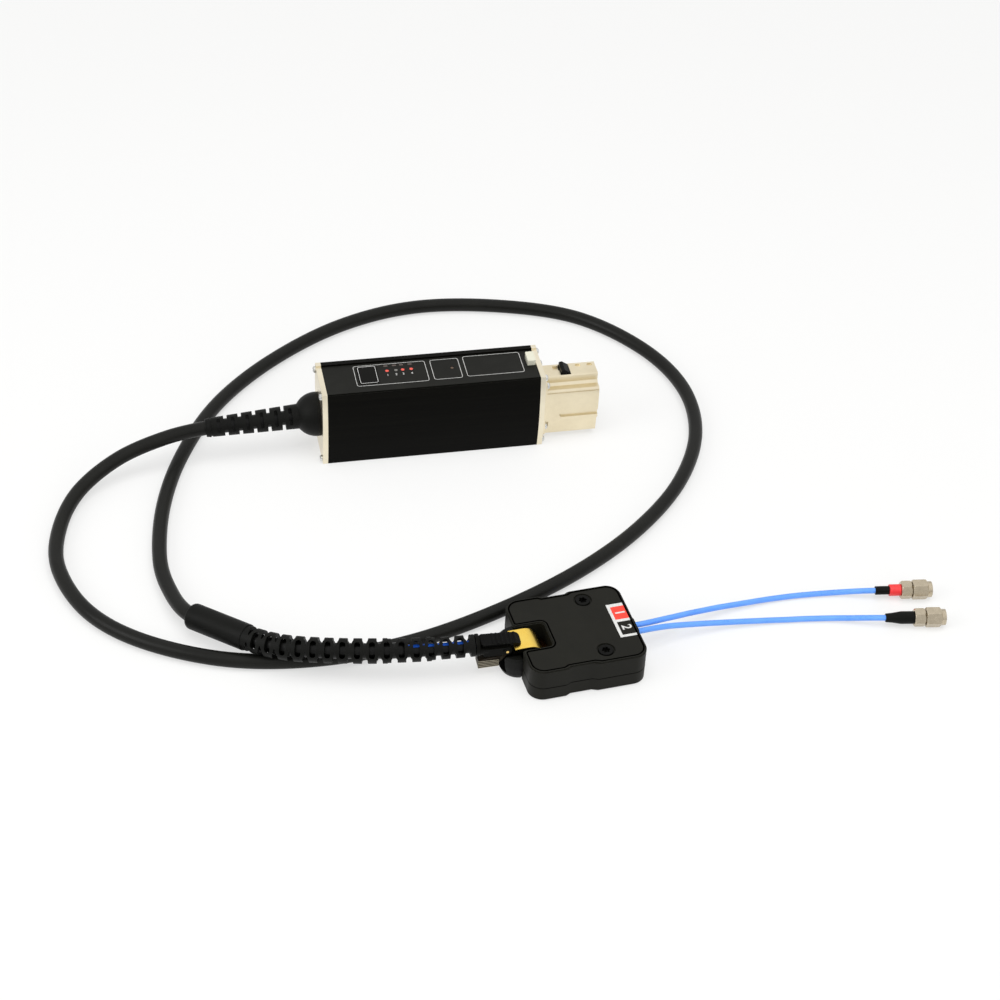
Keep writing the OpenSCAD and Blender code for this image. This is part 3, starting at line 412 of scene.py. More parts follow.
def dust_group():
    """Sparse specks and a thin film on faces that look up."""
    tree, given, made = new_group("settled_dust", [("Scale", 2200.0)], [("Mask", "NodeSocketFloat")])
    normal = tree.nodes.new("ShaderNodeNewGeometry").outputs["Normal"]
    parts = tree.nodes.new("ShaderNodeSeparateXYZ")
    link(tree, normal, parts.inputs["Vector"])
    up = spread(tree, parts.outputs["Z"], 0.2, 0.9)
    where = tree.nodes.new("ShaderNodeTexCoord").outputs["Object"]
    specks = spread(tree, noise(tree, where, given.outputs["Scale"], 1.0, 0.5), 0.68, 0.76)
    film = spread(tree, noise(tree, where, 90.0, 4.0, 0.7), 0.45, 0.8, 0.0, 0.35)
    both = maths(tree, "ADD", specks, film, clamp=True)
    link(tree, maths(tree, "MULTIPLY", up, both, clamp=True), made.inputs["Mask"])
    return tree


GRAIN, DRAWN, WEAR_AND_SHEEN, DUST = grain_group(), drawn_group(), wear_and_sheen_group(), dust_group()


# ---------- Materials ----------

def place_group(tree, group, **values):
    """Places a shader group in a material with its own values."""
    node = tree.nodes.new("ShaderNodeGroup")
    node.node_tree = group
    for name, value in values.items():
        node.inputs[name.replace("_", " ")].default_value = value
    return node


def blend_colour(tree, mask, a, b):
    """Colour a where the mask is 0, b where it is 1; a and b are colours or sockets."""
    node = tree.nodes.new("ShaderNodeMix")
    node.data_type = "RGBA"
    link(tree, mask, node.inputs["Factor"])
    for socket, value in ((node.inputs[6], a), (node.inputs[7], b)):
        if hasattr(value, "links"):
            link(tree, value, socket)
        else:
            socket.default_value = (*value, 1)
    return node.outputs[2]


def blank(name, metallic, specular=0.5, coat=0.0):
    """A new material with the values that are the same all over it."""
    material = bpy.data.materials.new(name)
    material.use_nodes = True
    tree = material.node_tree
    shader = tree.nodes["Principled BSDF"]
    shader.inputs["Metallic"].default_value = metallic
    shader.inputs["Specular IOR Level"].default_value = specular
    shader.inputs["Coat Weight"].default_value = coat
    shader.inputs["Coat Roughness"].default_value = 0.12
    return material, tree, shader


def bump(tree, shader, height, distance):
    """Raises the surface by a height mask, at most this far in metres."""
    node = tree.nodes.new("ShaderNodeBump")
    node.inputs["Distance"].default_value = distance
    node.inputs["Strength"].default_value = 1.0
    link(tree, height, node.inputs["Height"])
    link(tree, node.outputs["Normal"], shader.inputs["Normal"])


def finish(name, colour, shade, rough, metallic=0.0, specular=0.5, coat=0.0, grain=4000.0,
           mottle=60.0, depth=6e-6, wear_and_sheen_colour=None, wear_and_sheen_radius=0.0003, dust=None):
    """A surface with grain, mottled colour and gloss, and where asked, lighter edges and dust; the lighter
    edges are worn edges on most finishes and a painted highlight on the jaw's ribs.
    """
    material, tree, shader = blank(name, metallic, specular, coat)
    texture = place_group(tree, GRAIN, Scale=grain, Mottle_Scale=mottle)
    mottled = texture.outputs["Mottle"]
    base = blend_colour(tree, mottled, colour, shade)
    roughness = spread(tree, mottled, 0.0, 1.0, rough[0], rough[1])
    if wear_and_sheen_colour:
        edge = place_group(tree, WEAR_AND_SHEEN, Radius=wear_and_sheen_radius)
        base = blend_colour(tree, edge.outputs["Mask"], base, wear_and_sheen_colour)
    if dust:
        film = place_group(tree, DUST)
        thin = maths(tree, "MULTIPLY", film.outputs["Mask"], dust[1])
        base = blend_colour(tree, thin, base, dust[0])
    link(tree, base, shader.inputs["Base Color"])
    link(tree, roughness, shader.inputs["Roughness"])
    bump(tree, shader, texture.outputs["Height"], depth)
    return material


def black_anodised():
    """Extruded aluminium, dyed black, with faint lines along its length."""
    material, tree, shader = blank("black_anodised", 0.0, 0.05)
    lines = place_group(tree, DRAWN)
    edge = place_group(tree, WEAR_AND_SHEEN, Radius=0.00025)
    film = place_group(tree, DUST)
    streak = lines.outputs["Streak"]
    base = blend_colour(tree, streak, (0.0014, 0.0013, 0.0009), (0.0032, 0.0031, 0.0022))
    base = blend_colour(tree, edge.outputs["Mask"], base, (0.03, 0.029, 0.025))
    thin = maths(tree, "MULTIPLY", film.outputs["Mask"], 0.08)
    base = blend_colour(tree, thin, base, (0.12, 0.115, 0.11))
    link(tree, base, shader.inputs["Base Color"])
    link(tree, spread(tree, streak, 0.0, 1.0, 0.3, 0.46), shader.inputs["Roughness"])
    bump(tree, shader, lines.outputs["Height"], 3e-6)
    return material


def nickel_plate():
    """Satin nickel on the end plates, with fine grain and slightly dulled patches."""
    material, tree, shader = blank("nickel_plate", 1.0)
    texture = place_group(tree, GRAIN, Scale=2600.0, Mottle_Scale=70.0)
    base = blend_colour(tree, texture.outputs["Mottle"], (0.815, 0.74, 0.57), (0.945, 0.87, 0.69))
    link(tree, base, shader.inputs["Base Color"])
    link(tree, spread(tree, texture.outputs["Mottle"], 0.0, 1.0, 0.26, 0.38), shader.inputs["Roughness"])
    bump(tree, shader, texture.outputs["Height"], 2.5e-6)
    return material


def gold_tongue():
    """Gold plated spring sheet, bright on its crest and darkened to brown low in the notch as painted shade
    and a painted reflection of the notch's dark wall.
    """
    material, tree, shader = blank("gold_tongue", 1.0)
    texture = place_group(tree, GRAIN, Scale=1800.0, Mottle_Scale=160.0)
    gold = blend_colour(tree, texture.outputs["Mottle"], (0.97, 0.65, 0.115), (1.0, 0.72, 0.155))
    where = tree.nodes.new("ShaderNodeTexCoord").outputs["Object"]
    parts = tree.nodes.new("ShaderNodeSeparateXYZ")
    link(tree, where, parts.inputs["Vector"])
    # Painted shade and reflection: the colour turns from gold at 14.6 mm height to dark brown at 9.2 mm.
    low = spread(tree, parts.outputs["Z"], 0.0146, 0.0092)
    link(tree, blend_colour(tree, low, gold, (0.09, 0.035, 0.006)), shader.inputs["Base Color"])
    link(tree, spread(tree, texture.outputs["Mottle"], 0.0, 1.0, 0.24, 0.34), shader.inputs["Roughness"])
    bump(tree, shader, texture.outputs["Height"], 3e-6)
    return material


def glowing(name, colour, strength):
    """A small lens that is lit from within, its brightness mottled."""
    material, tree, shader = blank(name, 0.0, 0.5, 0.4)
    texture = place_group(tree, GRAIN, Scale=1500.0, Mottle_Scale=600.0)
    dark = tuple(c * 0.55 for c in colour)
    base = blend_colour(tree, texture.outputs["Mottle"], dark, colour)
    link(tree, base, shader.inputs["Base Color"])
    link(tree, base, shader.inputs["Emission Color"])
    shader.inputs["Emission Strength"].default_value = strength
    link(tree, spread(tree, texture.outputs["Mottle"], 0.0, 1.0, 0.18, 0.3), shader.inputs["Roughness"])
    bump(tree, shader, texture.outputs["Height"], 4e-6)
    return material


# The plain finishes: the two colours that mottle into each other, the least and most roughness, and what
# else differs from a plain matt surface
FINISHES = {
    "nickel_casting": dict(
        colour=(0.79, 0.695, 0.5), shade=(0.905, 0.81, 0.6), rough=(0.28, 0.4), metallic=1.0,
        grain=1500.0, mottle=90.0, depth=9e-6),
    "bright_steel": dict(
        colour=(0.62, 0.62, 0.6), shade=(0.78, 0.78, 0.76), rough=(0.16, 0.26), metallic=1.0,
        grain=3000.0, mottle=400.0, depth=2e-6),
    "black_steel": dict(
        colour=(0.0012, 0.0012, 0.001), shade=(0.003, 0.003, 0.0025), rough=(0.3, 0.42), specular=0.1,
        grain=2500.0, mottle=200.0, depth=4e-6, wear_and_sheen_colour=(0.05, 0.048, 0.042), wear_and_sheen_radius=0.00015),
    "label_film": dict(
        colour=(0.006, 0.006, 0.0046), shade=(0.0085, 0.0085, 0.0066), rough=(0.42, 0.5), specular=0.12,
        grain=5200.0, mottle=45.0, depth=4e-6, dust=((0.2, 0.2, 0.19), 0.05)),
    "white_ink": dict(
        colour=(0.58, 0.58, 0.56), shade=(0.75, 0.75, 0.73), rough=(0.5, 0.62), grain=3800.0,
        mottle=900.0, depth=3e-6),
    "dark_plastic": dict(
        colour=(0.0076, 0.0075, 0.0055), shade=(0.0108, 0.0106, 0.0078), rough=(0.42, 0.54),
        specular=0.12, grain=3200.0, mottle=60.0, depth=1.2e-5, wear_and_sheen_colour=(0.024, 0.024, 0.02),
        wear_and_sheen_radius=0.0003, dust=((0.22, 0.21, 0.19), 0.03)),
    "cream_plastic": dict(
        colour=(0.67, 0.66, 0.53), shade=(0.74, 0.73, 0.6), rough=(0.34, 0.46), grain=3600.0,
        mottle=120.0, depth=5e-6),
    "black_key": dict(
        colour=(0.0016, 0.0016, 0.0012), shade=(0.0032, 0.0032, 0.0024), rough=(0.26, 0.36),
        specular=0.07, grain=4200.0, mottle=120.0, depth=6e-6),
    # The jaw's lighter rib crests are a painted highlight, made with the edge mask.
    "ribbed_jaw": dict(
        colour=(0.0012, 0.0012, 0.001), shade=(0.0024, 0.0024, 0.002), rough=(0.26, 0.36), specular=0.07,
        grain=4200.0, mottle=120.0, depth=6e-6, wear_and_sheen_colour=(0.05, 0.05, 0.046), wear_and_sheen_radius=0.0002),
    "circuit_board": dict(
        colour=(0.01, 0.09, 0.03), shade=(0.015, 0.13, 0.045), rough=(0.3, 0.45), coat=0.3, grain=1800.0,
        mottle=500.0, depth=6e-6),
    "cable_jacket": dict(
        colour=(0.005, 0.005, 0.0042), shade=(0.0085, 0.0085, 0.007), rough=(0.34, 0.46), specular=0.17,
        grain=1700.0, mottle=40.0, depth=1e-5, dust=((0.2, 0.2, 0.18), 0.03)),
    "black_rubber": dict(
        colour=(0.0022, 0.0023, 0.0019), shade=(0.0045, 0.0047, 0.0039), rough=(0.42, 0.56),
        specular=0.12, grain=2600.0, mottle=70.0, depth=1e-5, wear_and_sheen_colour=(0.016, 0.016, 0.014),
        dust=((0.2, 0.19, 0.17), 0.02)),
    "blue_jacket": dict(
        colour=(0.12, 0.33, 0.9), shade=(0.15, 0.38, 0.96), rough=(0.26, 0.36), specular=0.3, coat=0.1,
        grain=1900.0, mottle=90.0, depth=5e-6),
    # Painted shade: the lower lever and the dark bars between its ridges.
    "shaded_groove": dict(
        colour=(0.012, 0.008, 0.004), shade=(0.024, 0.017, 0.009), rough=(0.5, 0.6), specular=0.2,
        grain=2400.0, mottle=300.0, depth=4e-6),
    # Painted shade: near black, for the lines in the adapter's joints.
    "shaded_gap": dict(
        colour=(0.0002, 0.0002, 0.0002), shade=(0.0004, 0.0004, 0.0003), rough=(0.7, 0.8), specular=0.0,
        grain=2400.0, mottle=90.0, depth=4e-6),
    # Darker copies of the cable jacket and the blue jacket: painted shade on what lies inside the reliefs.
    "shaded_jacket": dict(
        colour=(0.0012, 0.0012, 0.001), shade=(0.0022, 0.0022, 0.0018), rough=(0.3, 0.4), specular=0.2,
        grain=1700.0, mottle=90.0, depth=5e-6),
    "shaded_blue": dict(
        colour=(0.005, 0.06, 0.36), shade=(0.008, 0.08, 0.46), rough=(0.4, 0.5), specular=0.08,
        grain=1900.0, mottle=90.0, depth=5e-6),
    "red_sleeve": dict(
        colour=(0.8, 0.028, 0.03), shade=(0.9, 0.045, 0.046), rough=(0.34, 0.46), grain=2400.0,
        mottle=300.0, depth=6e-6),
    "red_ink": dict(
        colour=(0.78, 0.045, 0.025), shade=(0.86, 0.065, 0.04), rough=(0.4, 0.5), grain=4200.0,
        mottle=400.0, depth=3e-6),
    "gold_plating": dict(
        colour=(0.85, 0.55, 0.16), shade=(0.95, 0.68, 0.25), rough=(0.2, 0.3), metallic=1.0, grain=2600.0,
        mottle=500.0, depth=2e-6),
    "white_insulator": dict(
        colour=(0.72, 0.72, 0.69), shade=(0.8, 0.8, 0.77), rough=(0.4, 0.5), grain=2000.0, mottle=300.0,
        depth=4e-6),
    "connector_steel": dict(
        colour=(0.5, 0.43, 0.32), shade=(0.61, 0.53, 0.4), rough=(0.2, 0.3), metallic=1.0, grain=2600.0,
        mottle=700.0, depth=3e-6, wear_and_sheen_colour=(0.62, 0.59, 0.5), wear_and_sheen_radius=0.00015),
    "lever_nickel": dict(
        colour=(0.33, 0.3, 0.225), shade=(0.43, 0.39, 0.3), rough=(0.24, 0.36), metallic=0.9,
        grain=2400.0, mottle=250.0, depth=4e-6),
    "led_window": dict(
        colour=(0.035, 0.02, 0.014), shade=(0.06, 0.032, 0.022), rough=(0.16, 0.26), coat=0.5,
        grain=2000.0, mottle=700.0, depth=3e-6),
    "amber_lens": dict(
        colour=(0.06, 0.028, 0.008), shade=(0.1, 0.045, 0.012), rough=(0.14, 0.22), coat=0.6,
        grain=2000.0, mottle=700.0, depth=3e-6),
}


def make_materials():
    """Every finish of the probe, by name."""
    made = {name: finish(name, **values) for name, values in FINISHES.items()}
    made["black_anodised"] = black_anodised()
    made["nickel_plate"] = nickel_plate()
    made["gold_tongue"] = gold_tongue()
    made["red_light"] = glowing("red_light", (0.8, 0.08, 0.05), 0.35)
    # The unlit lamp's faint glow is painted light.
    made["grey_light"] = glowing("grey_light", (0.2, 0.19, 0.17), 0.05)
    return made


PAINT = make_materials()


# ---------- Cords ----------

def cord_curve(name, route, diameter):
    """A round cord on a smooth open curve through the route's inner points."""
    data = bpy.data.curves.new(name, "CURVE")
    data.dimensions = "3D"
    data.bevel_depth = diameter / 2
    data.bevel_resolution = 6
    data.resolution_u = 10
    data.use_fill_caps = True
    spline = data.splines.new("BEZIER")
    points = [Vector(p) * MM for p in route]
    spline.bezier_points.add(len(points) - 3)
    for i, knot in enumerate(spline.bezier_points):
        before, here, after = points[i], points[i + 1], points[i + 2]
        lean = (after - before) / 6
        knot.co = here
        knot.handle_left = here - lean
        knot.handle_right = here + lean
    piece = bpy.data.objects.new(name, data)
    bpy.context.scene.collection.objects.link(piece)
    return piece


def lay_cords():
    """The cable and the two leads, each in the place of its solid."""
    main = cord_curve("main_cable_jacket", MAIN_ROUTE, 0.0068)
    attach(main, "main_cable_jacket", "root", PAINT["cable_jacket"])
    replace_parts(main, "main_cable")
    coax_a = cord_curve("coax_a_jacket", COAX_A_ROUTE, 0.0026)
    attach(coax_a, "coax_a_jacket", "root", PAINT["blue_jacket"])
    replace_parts(coax_a, "coax_a")
    coax_b = cord_curve("coax_b_jacket", COAX_B_ROUTE, 0.0026)
    attach(coax_b, "coax_b_jacket", "root", PAINT["blue_jacket"])
    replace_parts(coax_b, "coax_b")
    return coax_a, coax_b


# ---------- Printed marks ----------

def thin_sheet(x, y, z, size_x, size_y):
    """A flat rectangle centred on x and y at height z; all in millimetres."""
    sheet = added(bpy.ops.mesh.primitive_plane_add, size=1, location=(x * MM, y * MM, z * MM))
    sheet.scale = (size_x * MM, size_y * MM, 1)
    return settle(sheet)


def printed_bar(x, y, z):
    """A printed rectangle between two x and two y values, in millimetres."""
    bar = thin_sheet((x[0] + x[1]) / 2, (y[0] + y[1]) / 2, z, x[1] - x[0], y[1] - y[0])
    finish_modifier(bar, "SOLIDIFY", thickness=INK * MM, offset=1)
    return bar


def printed_outline(x, y, z, size_x, size_y, corner):
    """A printed outline with round corners; all in millimetres."""
    sheet = thin_sheet(x, y, z, size_x, size_y)
    bpy.ops.object.mode_set(mode="EDIT")
    bpy.ops.mesh.select_all(action="SELECT")
    bpy.ops.mesh.bevel(offset=corner * MM, segments=6, affect="VERTICES")
    bpy.ops.mesh.inset(thickness=OUTLINE * MM)
    bpy.ops.mesh.delete(type="FACE")
    bpy.ops.object.mode_set(mode="OBJECT")
    finish_modifier(sheet, "SOLIDIFY", thickness=INK * MM, offset=1)
    return sheet


def numeral(text, x, y, z, height, turn=0, weight=0.0):
    """A plain numeral lying flat, centred on x and y; weight makes its strokes wider."""
    sign = added(bpy.ops.object.text_add, location=(0, 0, 0))
    sign.data.body = text
    sign.data.size = height * MM / 0.7
    sign.data.extrude = INK * MM / 2
    sign.data.offset = weight * MM
    sign.data.align_x = "CENTER"
    sign.data.align_y = "CENTER"
    bpy.ops.object.convert(target="MESH")
    sign = bpy.context.active_object
    sign.rotation_euler = (0, 0, turn)
    sign.location = (x * MM, y * MM, (z + INK / 2) * MM)
    return settle(sign)


def label_outlines():
    """The white outlines on the top label: one round each group of controls, one round the key."""
    frames = [
        printed_outline(-18.95, 0.3, LABEL_Z, 34.5, 16.0, 1.3),
        printed_outline(7.55, 0.45, LABEL_Z, 13.7, 15.7, 1.3),
        printed_outline(30.55, 1.0, LABEL_Z, 27.7, 16.0, 1.3),
    ]
    attach(joined(frames), "label_outlines", "root", PAINT["white_ink"])


def mode_marks():
    """The mode key's own outline, and plain numerals beside its four lamps."""
    outline = printed_outline(-30.0, 0.7, LABEL_Z + 0.15, 8.5, 13.1, 1.0)
    attach(outline, "mode_key_outline", "mode_button", PAINT["white_ink"])
    marks = [numeral(str(i + 1), x, NUMERALS_Y, LABEL_Z, 1.5) for i, x in enumerate(NUMERALS_X)]
    attach(joined(marks), "mode_numerals", "root", PAINT["white_ink"])


def mode_lamps():
    """Small domed lamps in a row under the windows."""
    for name, places, paint in (("lit_lamps", LIT_LAMPS, "red_light"),
                                ("unlit_lamp", UNLIT_LAMPS, "grey_light")):
        domes = []
        for x in places:
            dome = added(bpy.ops.mesh.primitive_uv_sphere_add, segments=24, ring_count=12,
                         radius=LAMP_RADIUS * MM, location=(x * MM, LAMP_Y * MM, LABEL_Z * MM))
            dome.scale = (1, 1, 0.2)
            domes.append(settle(dome))
        lamps = joined(domes)
        smooth_by_angle(lamps)
        attach(lamps, name, "root", PAINT[paint])


def on_adapter(piece):
    """Turns and moves a piece that was made round the adapter's middle into its place."""
    piece.rotation_euler = (0, 0, ADAPTER_TURN)
    piece.location = (ADAPTER_AT[0] * MM, ADAPTER_AT[1] * MM, 0)
    return settle(piece)


def channel_label():
    """The adapter's channel cells: white bars on three sides of each, one red, and plain numerals."""
    cells = (18.39, 24.89)
    bars = [((17.04, 18.39), (-10.35, 10.75)), (cells, (8.9, 10.75)), (cells, (-0.75, 0.77)),
            (cells, (-10.35, -9.0))]
    parts = {
        "white_ink": [printed_bar(x, y, COVER_Z) for x, y in bars],
        "red_ink": [printed_bar(cells, (0.77, 8.9), COVER_Z)],
    }
    quarter = math.radians(-90)
    parts["white_ink"] += [numeral("1", 21.5, 4.85, COVER_Z + INK, 4.25, quarter, weight=0.12),
                           numeral("2", 21.5, -4.55, COVER_Z, 4.25, quarter, weight=0.1)]
    for paint, pieces in parts.items():
        label = on_adapter(joined(pieces))
        attach(label, "channel_label_" + paint.split("_")[0], "root", PAINT[paint])


# ---------- Small parts that the solids leave plain ----------

def nut_threads():
    """The thread inside each coupling nut, as a run of fine ridges."""
    for i, nut in enumerate(("nut_a", "nut_b")):
        ridges = [added(bpy.ops.mesh.primitive_torus_add, major_radius=THREAD_RADIUS * MM,
                        minor_radius=THREAD_RIDGE * MM, major_segments=48, minor_segments=8,
                        location=(0, 0, (THREAD_START + THREAD_PITCH * k) * MM))
                  for k in range(THREAD_TURNS)]
        thread = settle(joined(ridges))
        thread.rotation_euler = (0, math.radians(90), 0)
        settle(thread)
        thread.rotation_euler = (0, 0, CONNECTOR_TURN[i])
        thread.location = [v * MM for v in CONNECTOR_AT[i]]
        settle(thread)
        smooth_by_angle(thread, 60)
        attach(thread, nut + "_thread", nut, PAINT["connector_steel"])


# ---------- Stage ----------

def sharp_rays(tree):
    """Two masks: what the camera sees straight or through glass, and the same with what gloss mirrors."""
    path = tree.nodes.new("ShaderNodeLightPath")
    plain = maths(tree, "ADD", path.outputs["Is Camera Ray"], path.outputs["Is Transmission Ray"],
                  clamp=True)
    return plain, maths(tree, "ADD", plain, path.outputs["Is Glossy Ray"], clamp=True)


def white_floor():
    """A pale floor that keeps the shadow, and fades to plain white from 0.35 m out to 1.2 m."""
    floor = settle(added(bpy.ops.mesh.primitive_plane_add, size=8, location=(0, 0, -0.0002)))
    floor.name = "floor"
    paint = bpy.data.materials.new("floor")
    paint.use_nodes = True
    tree = paint.node_tree
    tree.nodes.remove(tree.nodes["Principled BSDF"])
    _, seen = sharp_rays(tree)
    matt = tree.nodes.new("ShaderNodeBsdfDiffuse")
    matt.inputs["Color"].default_value = (0.88, 0.88, 0.87, 1)
    glow = tree.nodes.new("ShaderNodeEmission")
    glow.inputs["Color"].default_value = (1, 1, 0.995, 1)
    glow.inputs["Strength"].default_value = 0.97
    reach = tree.nodes.new("ShaderNodeVectorMath")
    reach.operation = "LENGTH"
    link(tree, tree.nodes.new("ShaderNodeTexCoord").outputs["Object"], reach.inputs[0])
    share = spread(tree, reach.outputs["Value"], 0.35, 1.2, 0.6, 1.0)
    mixed = tree.nodes.new("ShaderNodeMixShader")
    link(tree, maths(tree, "MULTIPLY", seen, share), mixed.inputs["Fac"])
    link(tree, matt.outputs["BSDF"], mixed.inputs[1])
    link(tree, glow.outputs["Emission"], mixed.inputs[2])
    link(tree, mixed.outputs["Shader"], tree.nodes["Material Output"].inputs["Surface"])
    floor.data.materials.append(paint)


def even_sky():
    """A sky that is white to look at and softer as a light, with a dome that gloss mirrors."""
    world = bpy.data.worlds.new("studio")
    world.use_nodes = True
    bpy.context.scene.world = world
    tree = world.node_tree
    plain, seen = sharp_rays(tree)
    height = tree.nodes.new("ShaderNodeSeparateXYZ")
    link(tree, tree.nodes.new("ShaderNodeTexCoord").outputs["Generated"], height.inputs["Vector"])
    dome = spread(tree, height.outputs["Z"], 0.0, 0.75, 0.6, 1.0)
    shown = maths(tree, "SUBTRACT", maths(tree, "MAXIMUM", dome, plain), SKY_LIGHT)
    strength = maths(tree, "ADD", maths(tree, "MULTIPLY", seen, shown), SKY_LIGHT)
    sky = tree.nodes["Background"]
    sky.inputs["Color"].default_value = (1, 1, 1, 1)
    link(tree, strength, sky.inputs["Strength"])


def soft_boxes():
    """Three square lamps that face the probe. Gloss mirrors only the one on the left."""
    for name, (place, size, power) in SOFT_BOXES.items():
        data = bpy.data.lights.new(name, "AREA")
        data.size = size
        data.energy = power
        lamp = bpy.data.objects.new(name, data)
        bpy.context.scene.collection.objects.link(lamp)
        lamp.location = place
        lamp.visible_glossy = name == "left_box"
        lamp.rotation_mode = "QUATERNION"
        aim = Vector(LAMPS_AIM) - Vector(place)
        lamp.rotation_quaternion = aim.to_track_quat("-Z", "Y")
    bpy.context.scene.view_settings.view_transform = "Standard"


# ---------- The probe ----------

def latch_spring():
    """The coil under the release button, rounded and given a mesh of its own."""
    spring = softened("latch_spring", 0.02, PAINT["bright_steel"], segments=1)
    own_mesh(spring)


def box_pieces():
    """The box: its shell and plates, its screws, and what stands on and in it."""
    softened("housing", 0.2, PAINT["black_anodised"])
    for node in ("cable_end_plate", "nose_end_plate"):
        softened(node, 0.25, PAINT["nickel_plate"])
    for node in ("cable_end_screws", "nose_end_screws", "nose_screws"):
        softened(node, 0.12, PAINT["bright_steel"])
    softened("control_label", 0.08, PAINT["label_film"], segments=1)
    softened("mode_button", 0.2, PAINT["black_key"])
    softened("mode_leds", 0.15, PAINT["led_window"])
    softened("warning_led", 0.2, PAINT["amber_lens"])
    softened("release_button", 0.45, PAINT["cream_plastic"], segments=4)
    softened("latch_hook", 0.2, PAINT["black_steel"])
    for node, paint in (("mode_switch", "black_key"), ("control_board", "circuit_board"),
                        ("main_board", "circuit_board"), ("shield_can", "bright_steel"),
                        ("latch_plate", "bright_steel")):
        dress(node, PAINT[paint])
    latch_spring()


def plug_pieces():
    """The plug that goes into the instrument, with its jack and contacts."""
    softened("nose_body", 0.25, PAINT["nickel_casting"])
    softened("nose_jack", 0.1, PAINT["gold_plating"])
    softened("nose_jack_insulator", 0.1, PAINT["white_insulator"])
    softened("contact_block", 0.12, PAINT["black_key"])
    dress("nose_jack_contact", PAINT["gold_plating"])


def relief_place(station):
    """Where the head relief's centre line is, and which way it turns, at a distance from its start."""
    spot = Matrix.Translation(Vector(RELIEF_START))
    for axis, degrees in (("Z", RELIEF_TILT[2]), ("Y", RELIEF_TILT[1]), ("X", RELIEF_TILT[0])):
        spot = spot @ Matrix.Rotation(math.radians(degrees), 4, axis)
    left = station
    for radius, length in RELIEF_ARCS:
        step = min(left, length)
        spot = spot @ Matrix.Translation((0, radius, 0)) @ Matrix.Rotation(step / radius, 4, "Z") \
            @ Matrix.Translation((0, -radius, 0))
        left -= step
    return spot


def waist_cutters():
    """Long oval cutters, a pair in each cell, that leave only a slim bar between two rings."""
    cutters = []
    for k in range(RELIEF_CELLS):
        station = (k + 0.5) * RELIEF_LENGTH / RELIEF_CELLS
        height = next(tall for end, tall in OVAL_HEIGHTS if station < end)
        for side in (-1, 1):
            oval = added(bpy.ops.mesh.primitive_cylinder_add, vertices=40, radius=1, depth=OVAL_DEPTH)
            oval.scale = (OVAL_WIDTH, height, 1)
            settle(oval)
            oval.rotation_euler = (math.radians(90), 0, 0)
            oval.location = (0, side * OVAL_OUT, 0)
            settle(oval)
            turned = relief_place(station) @ Matrix.Rotation(math.radians(RELIEF_TURN), 4, "X")
            oval.matrix_world = Matrix.Scale(MM, 4) @ turned
            cutters.append(settle(oval))
    return joined(cutters)


def head_relief():
    """The lattice relief: rings in pairs, each pair joined by two slim bars."""
    cutters = waist_cutters()
    softened("head_relief", 0.18, PAINT["black_rubber"], cutters=cutters)
    bpy.data.objects.remove(cutters)


def relief_sheath():
    """The sheath inside the relief, near black as painted shade in its openings. It thins where the blue
    pair and the wires come out of it.
    """
    data = bpy.data.curves.new("relief_sheath", "CURVE")
    data.dimensions = "3D"
    data.bevel_depth = MM
    data.bevel_resolution = 6
    data.use_fill_caps = True
    spline = data.splines.new("POLY")
    spline.points.add(SHEATH_STEPS)
    for i, point in enumerate(spline.points):
        station = 1 + (RELIEF_LENGTH - 2) * i / SHEATH_STEPS
        thin = min(max((station - SHEATH_END) / SHEATH_TAPER, 0), 1)
        point.radius = SHEATH_RADII[0] + (SHEATH_RADII[1] - SHEATH_RADII[0]) * thin
        spot = relief_place(station) @ Vector((0, SHEATH_SHIFT[0] * thin, SHEATH_SHIFT[1] * thin))
        point.co = (*(spot * MM), 1)
    piece = bpy.data.objects.new("relief_sheath", data)
    bpy.context.scene.collection.objects.link(piece)
    only(piece)
    bpy.ops.object.convert(target="MESH")
    piece = bpy.context.active_object
    smooth_by_angle(piece, 50)
    attach(piece, "relief_sheath", "root", PAINT["shaded_jacket"])


def cable_pieces():
    """The reliefs and the sleeve on the cable, and the wires that show in them."""
    softened("box_boot", 0.22, PAINT["black_rubber"])
    softened("cable_sleeve", 0.3, PAINT["black_rubber"])
    head_relief()
    relief_sheath()
    # The cable and wires inside the reliefs get the darker jacket colours, as painted shade.
    dress("boot_cable", PAINT["shaded_jacket"])
    dress("head_coax_pair", PAINT["shaded_jacket"])
    dress("head_wires", PAINT["shaded_blue"])


def lever_row(place, size):
    """A bar along the lever, at this share of the way from its top to its bottom."""
    low = LEVER_REAR[1] + (LEVER_REAR[2] - LEVER_REAR[1]) * place
    high = LEVER_FRONT[1] + (LEVER_FRONT[2] - LEVER_FRONT[1]) * place
    reach = LEVER_FRONT[0] - LEVER_REAR[0]
    row = added(bpy.ops.mesh.primitive_cube_add, size=1)
    row.scale = (math.hypot(reach, high - low) * MM, size[0] * MM, size[1] * MM)
    settle(row)
    for face in row.data.polygons:
        face.select = face.normal.x > 0.9
    bpy.ops.object.mode_set(mode="EDIT")
    bpy.ops.mesh.select_mode(type="FACE")
    bpy.ops.transform.resize(value=(1, 1, 0.8))
    bpy.ops.object.mode_set(mode="OBJECT")
    row.rotation_euler = (0, -math.atan2(high - low, reach), 0)
    row.location = [v * MM for v in (HEAD_AT[0] + (LEVER_REAR[0] + LEVER_FRONT[0]) / 2, HEAD_AT[1],
                                     HEAD_AT[2] + (low + high) / 2)]
    return settle(row)


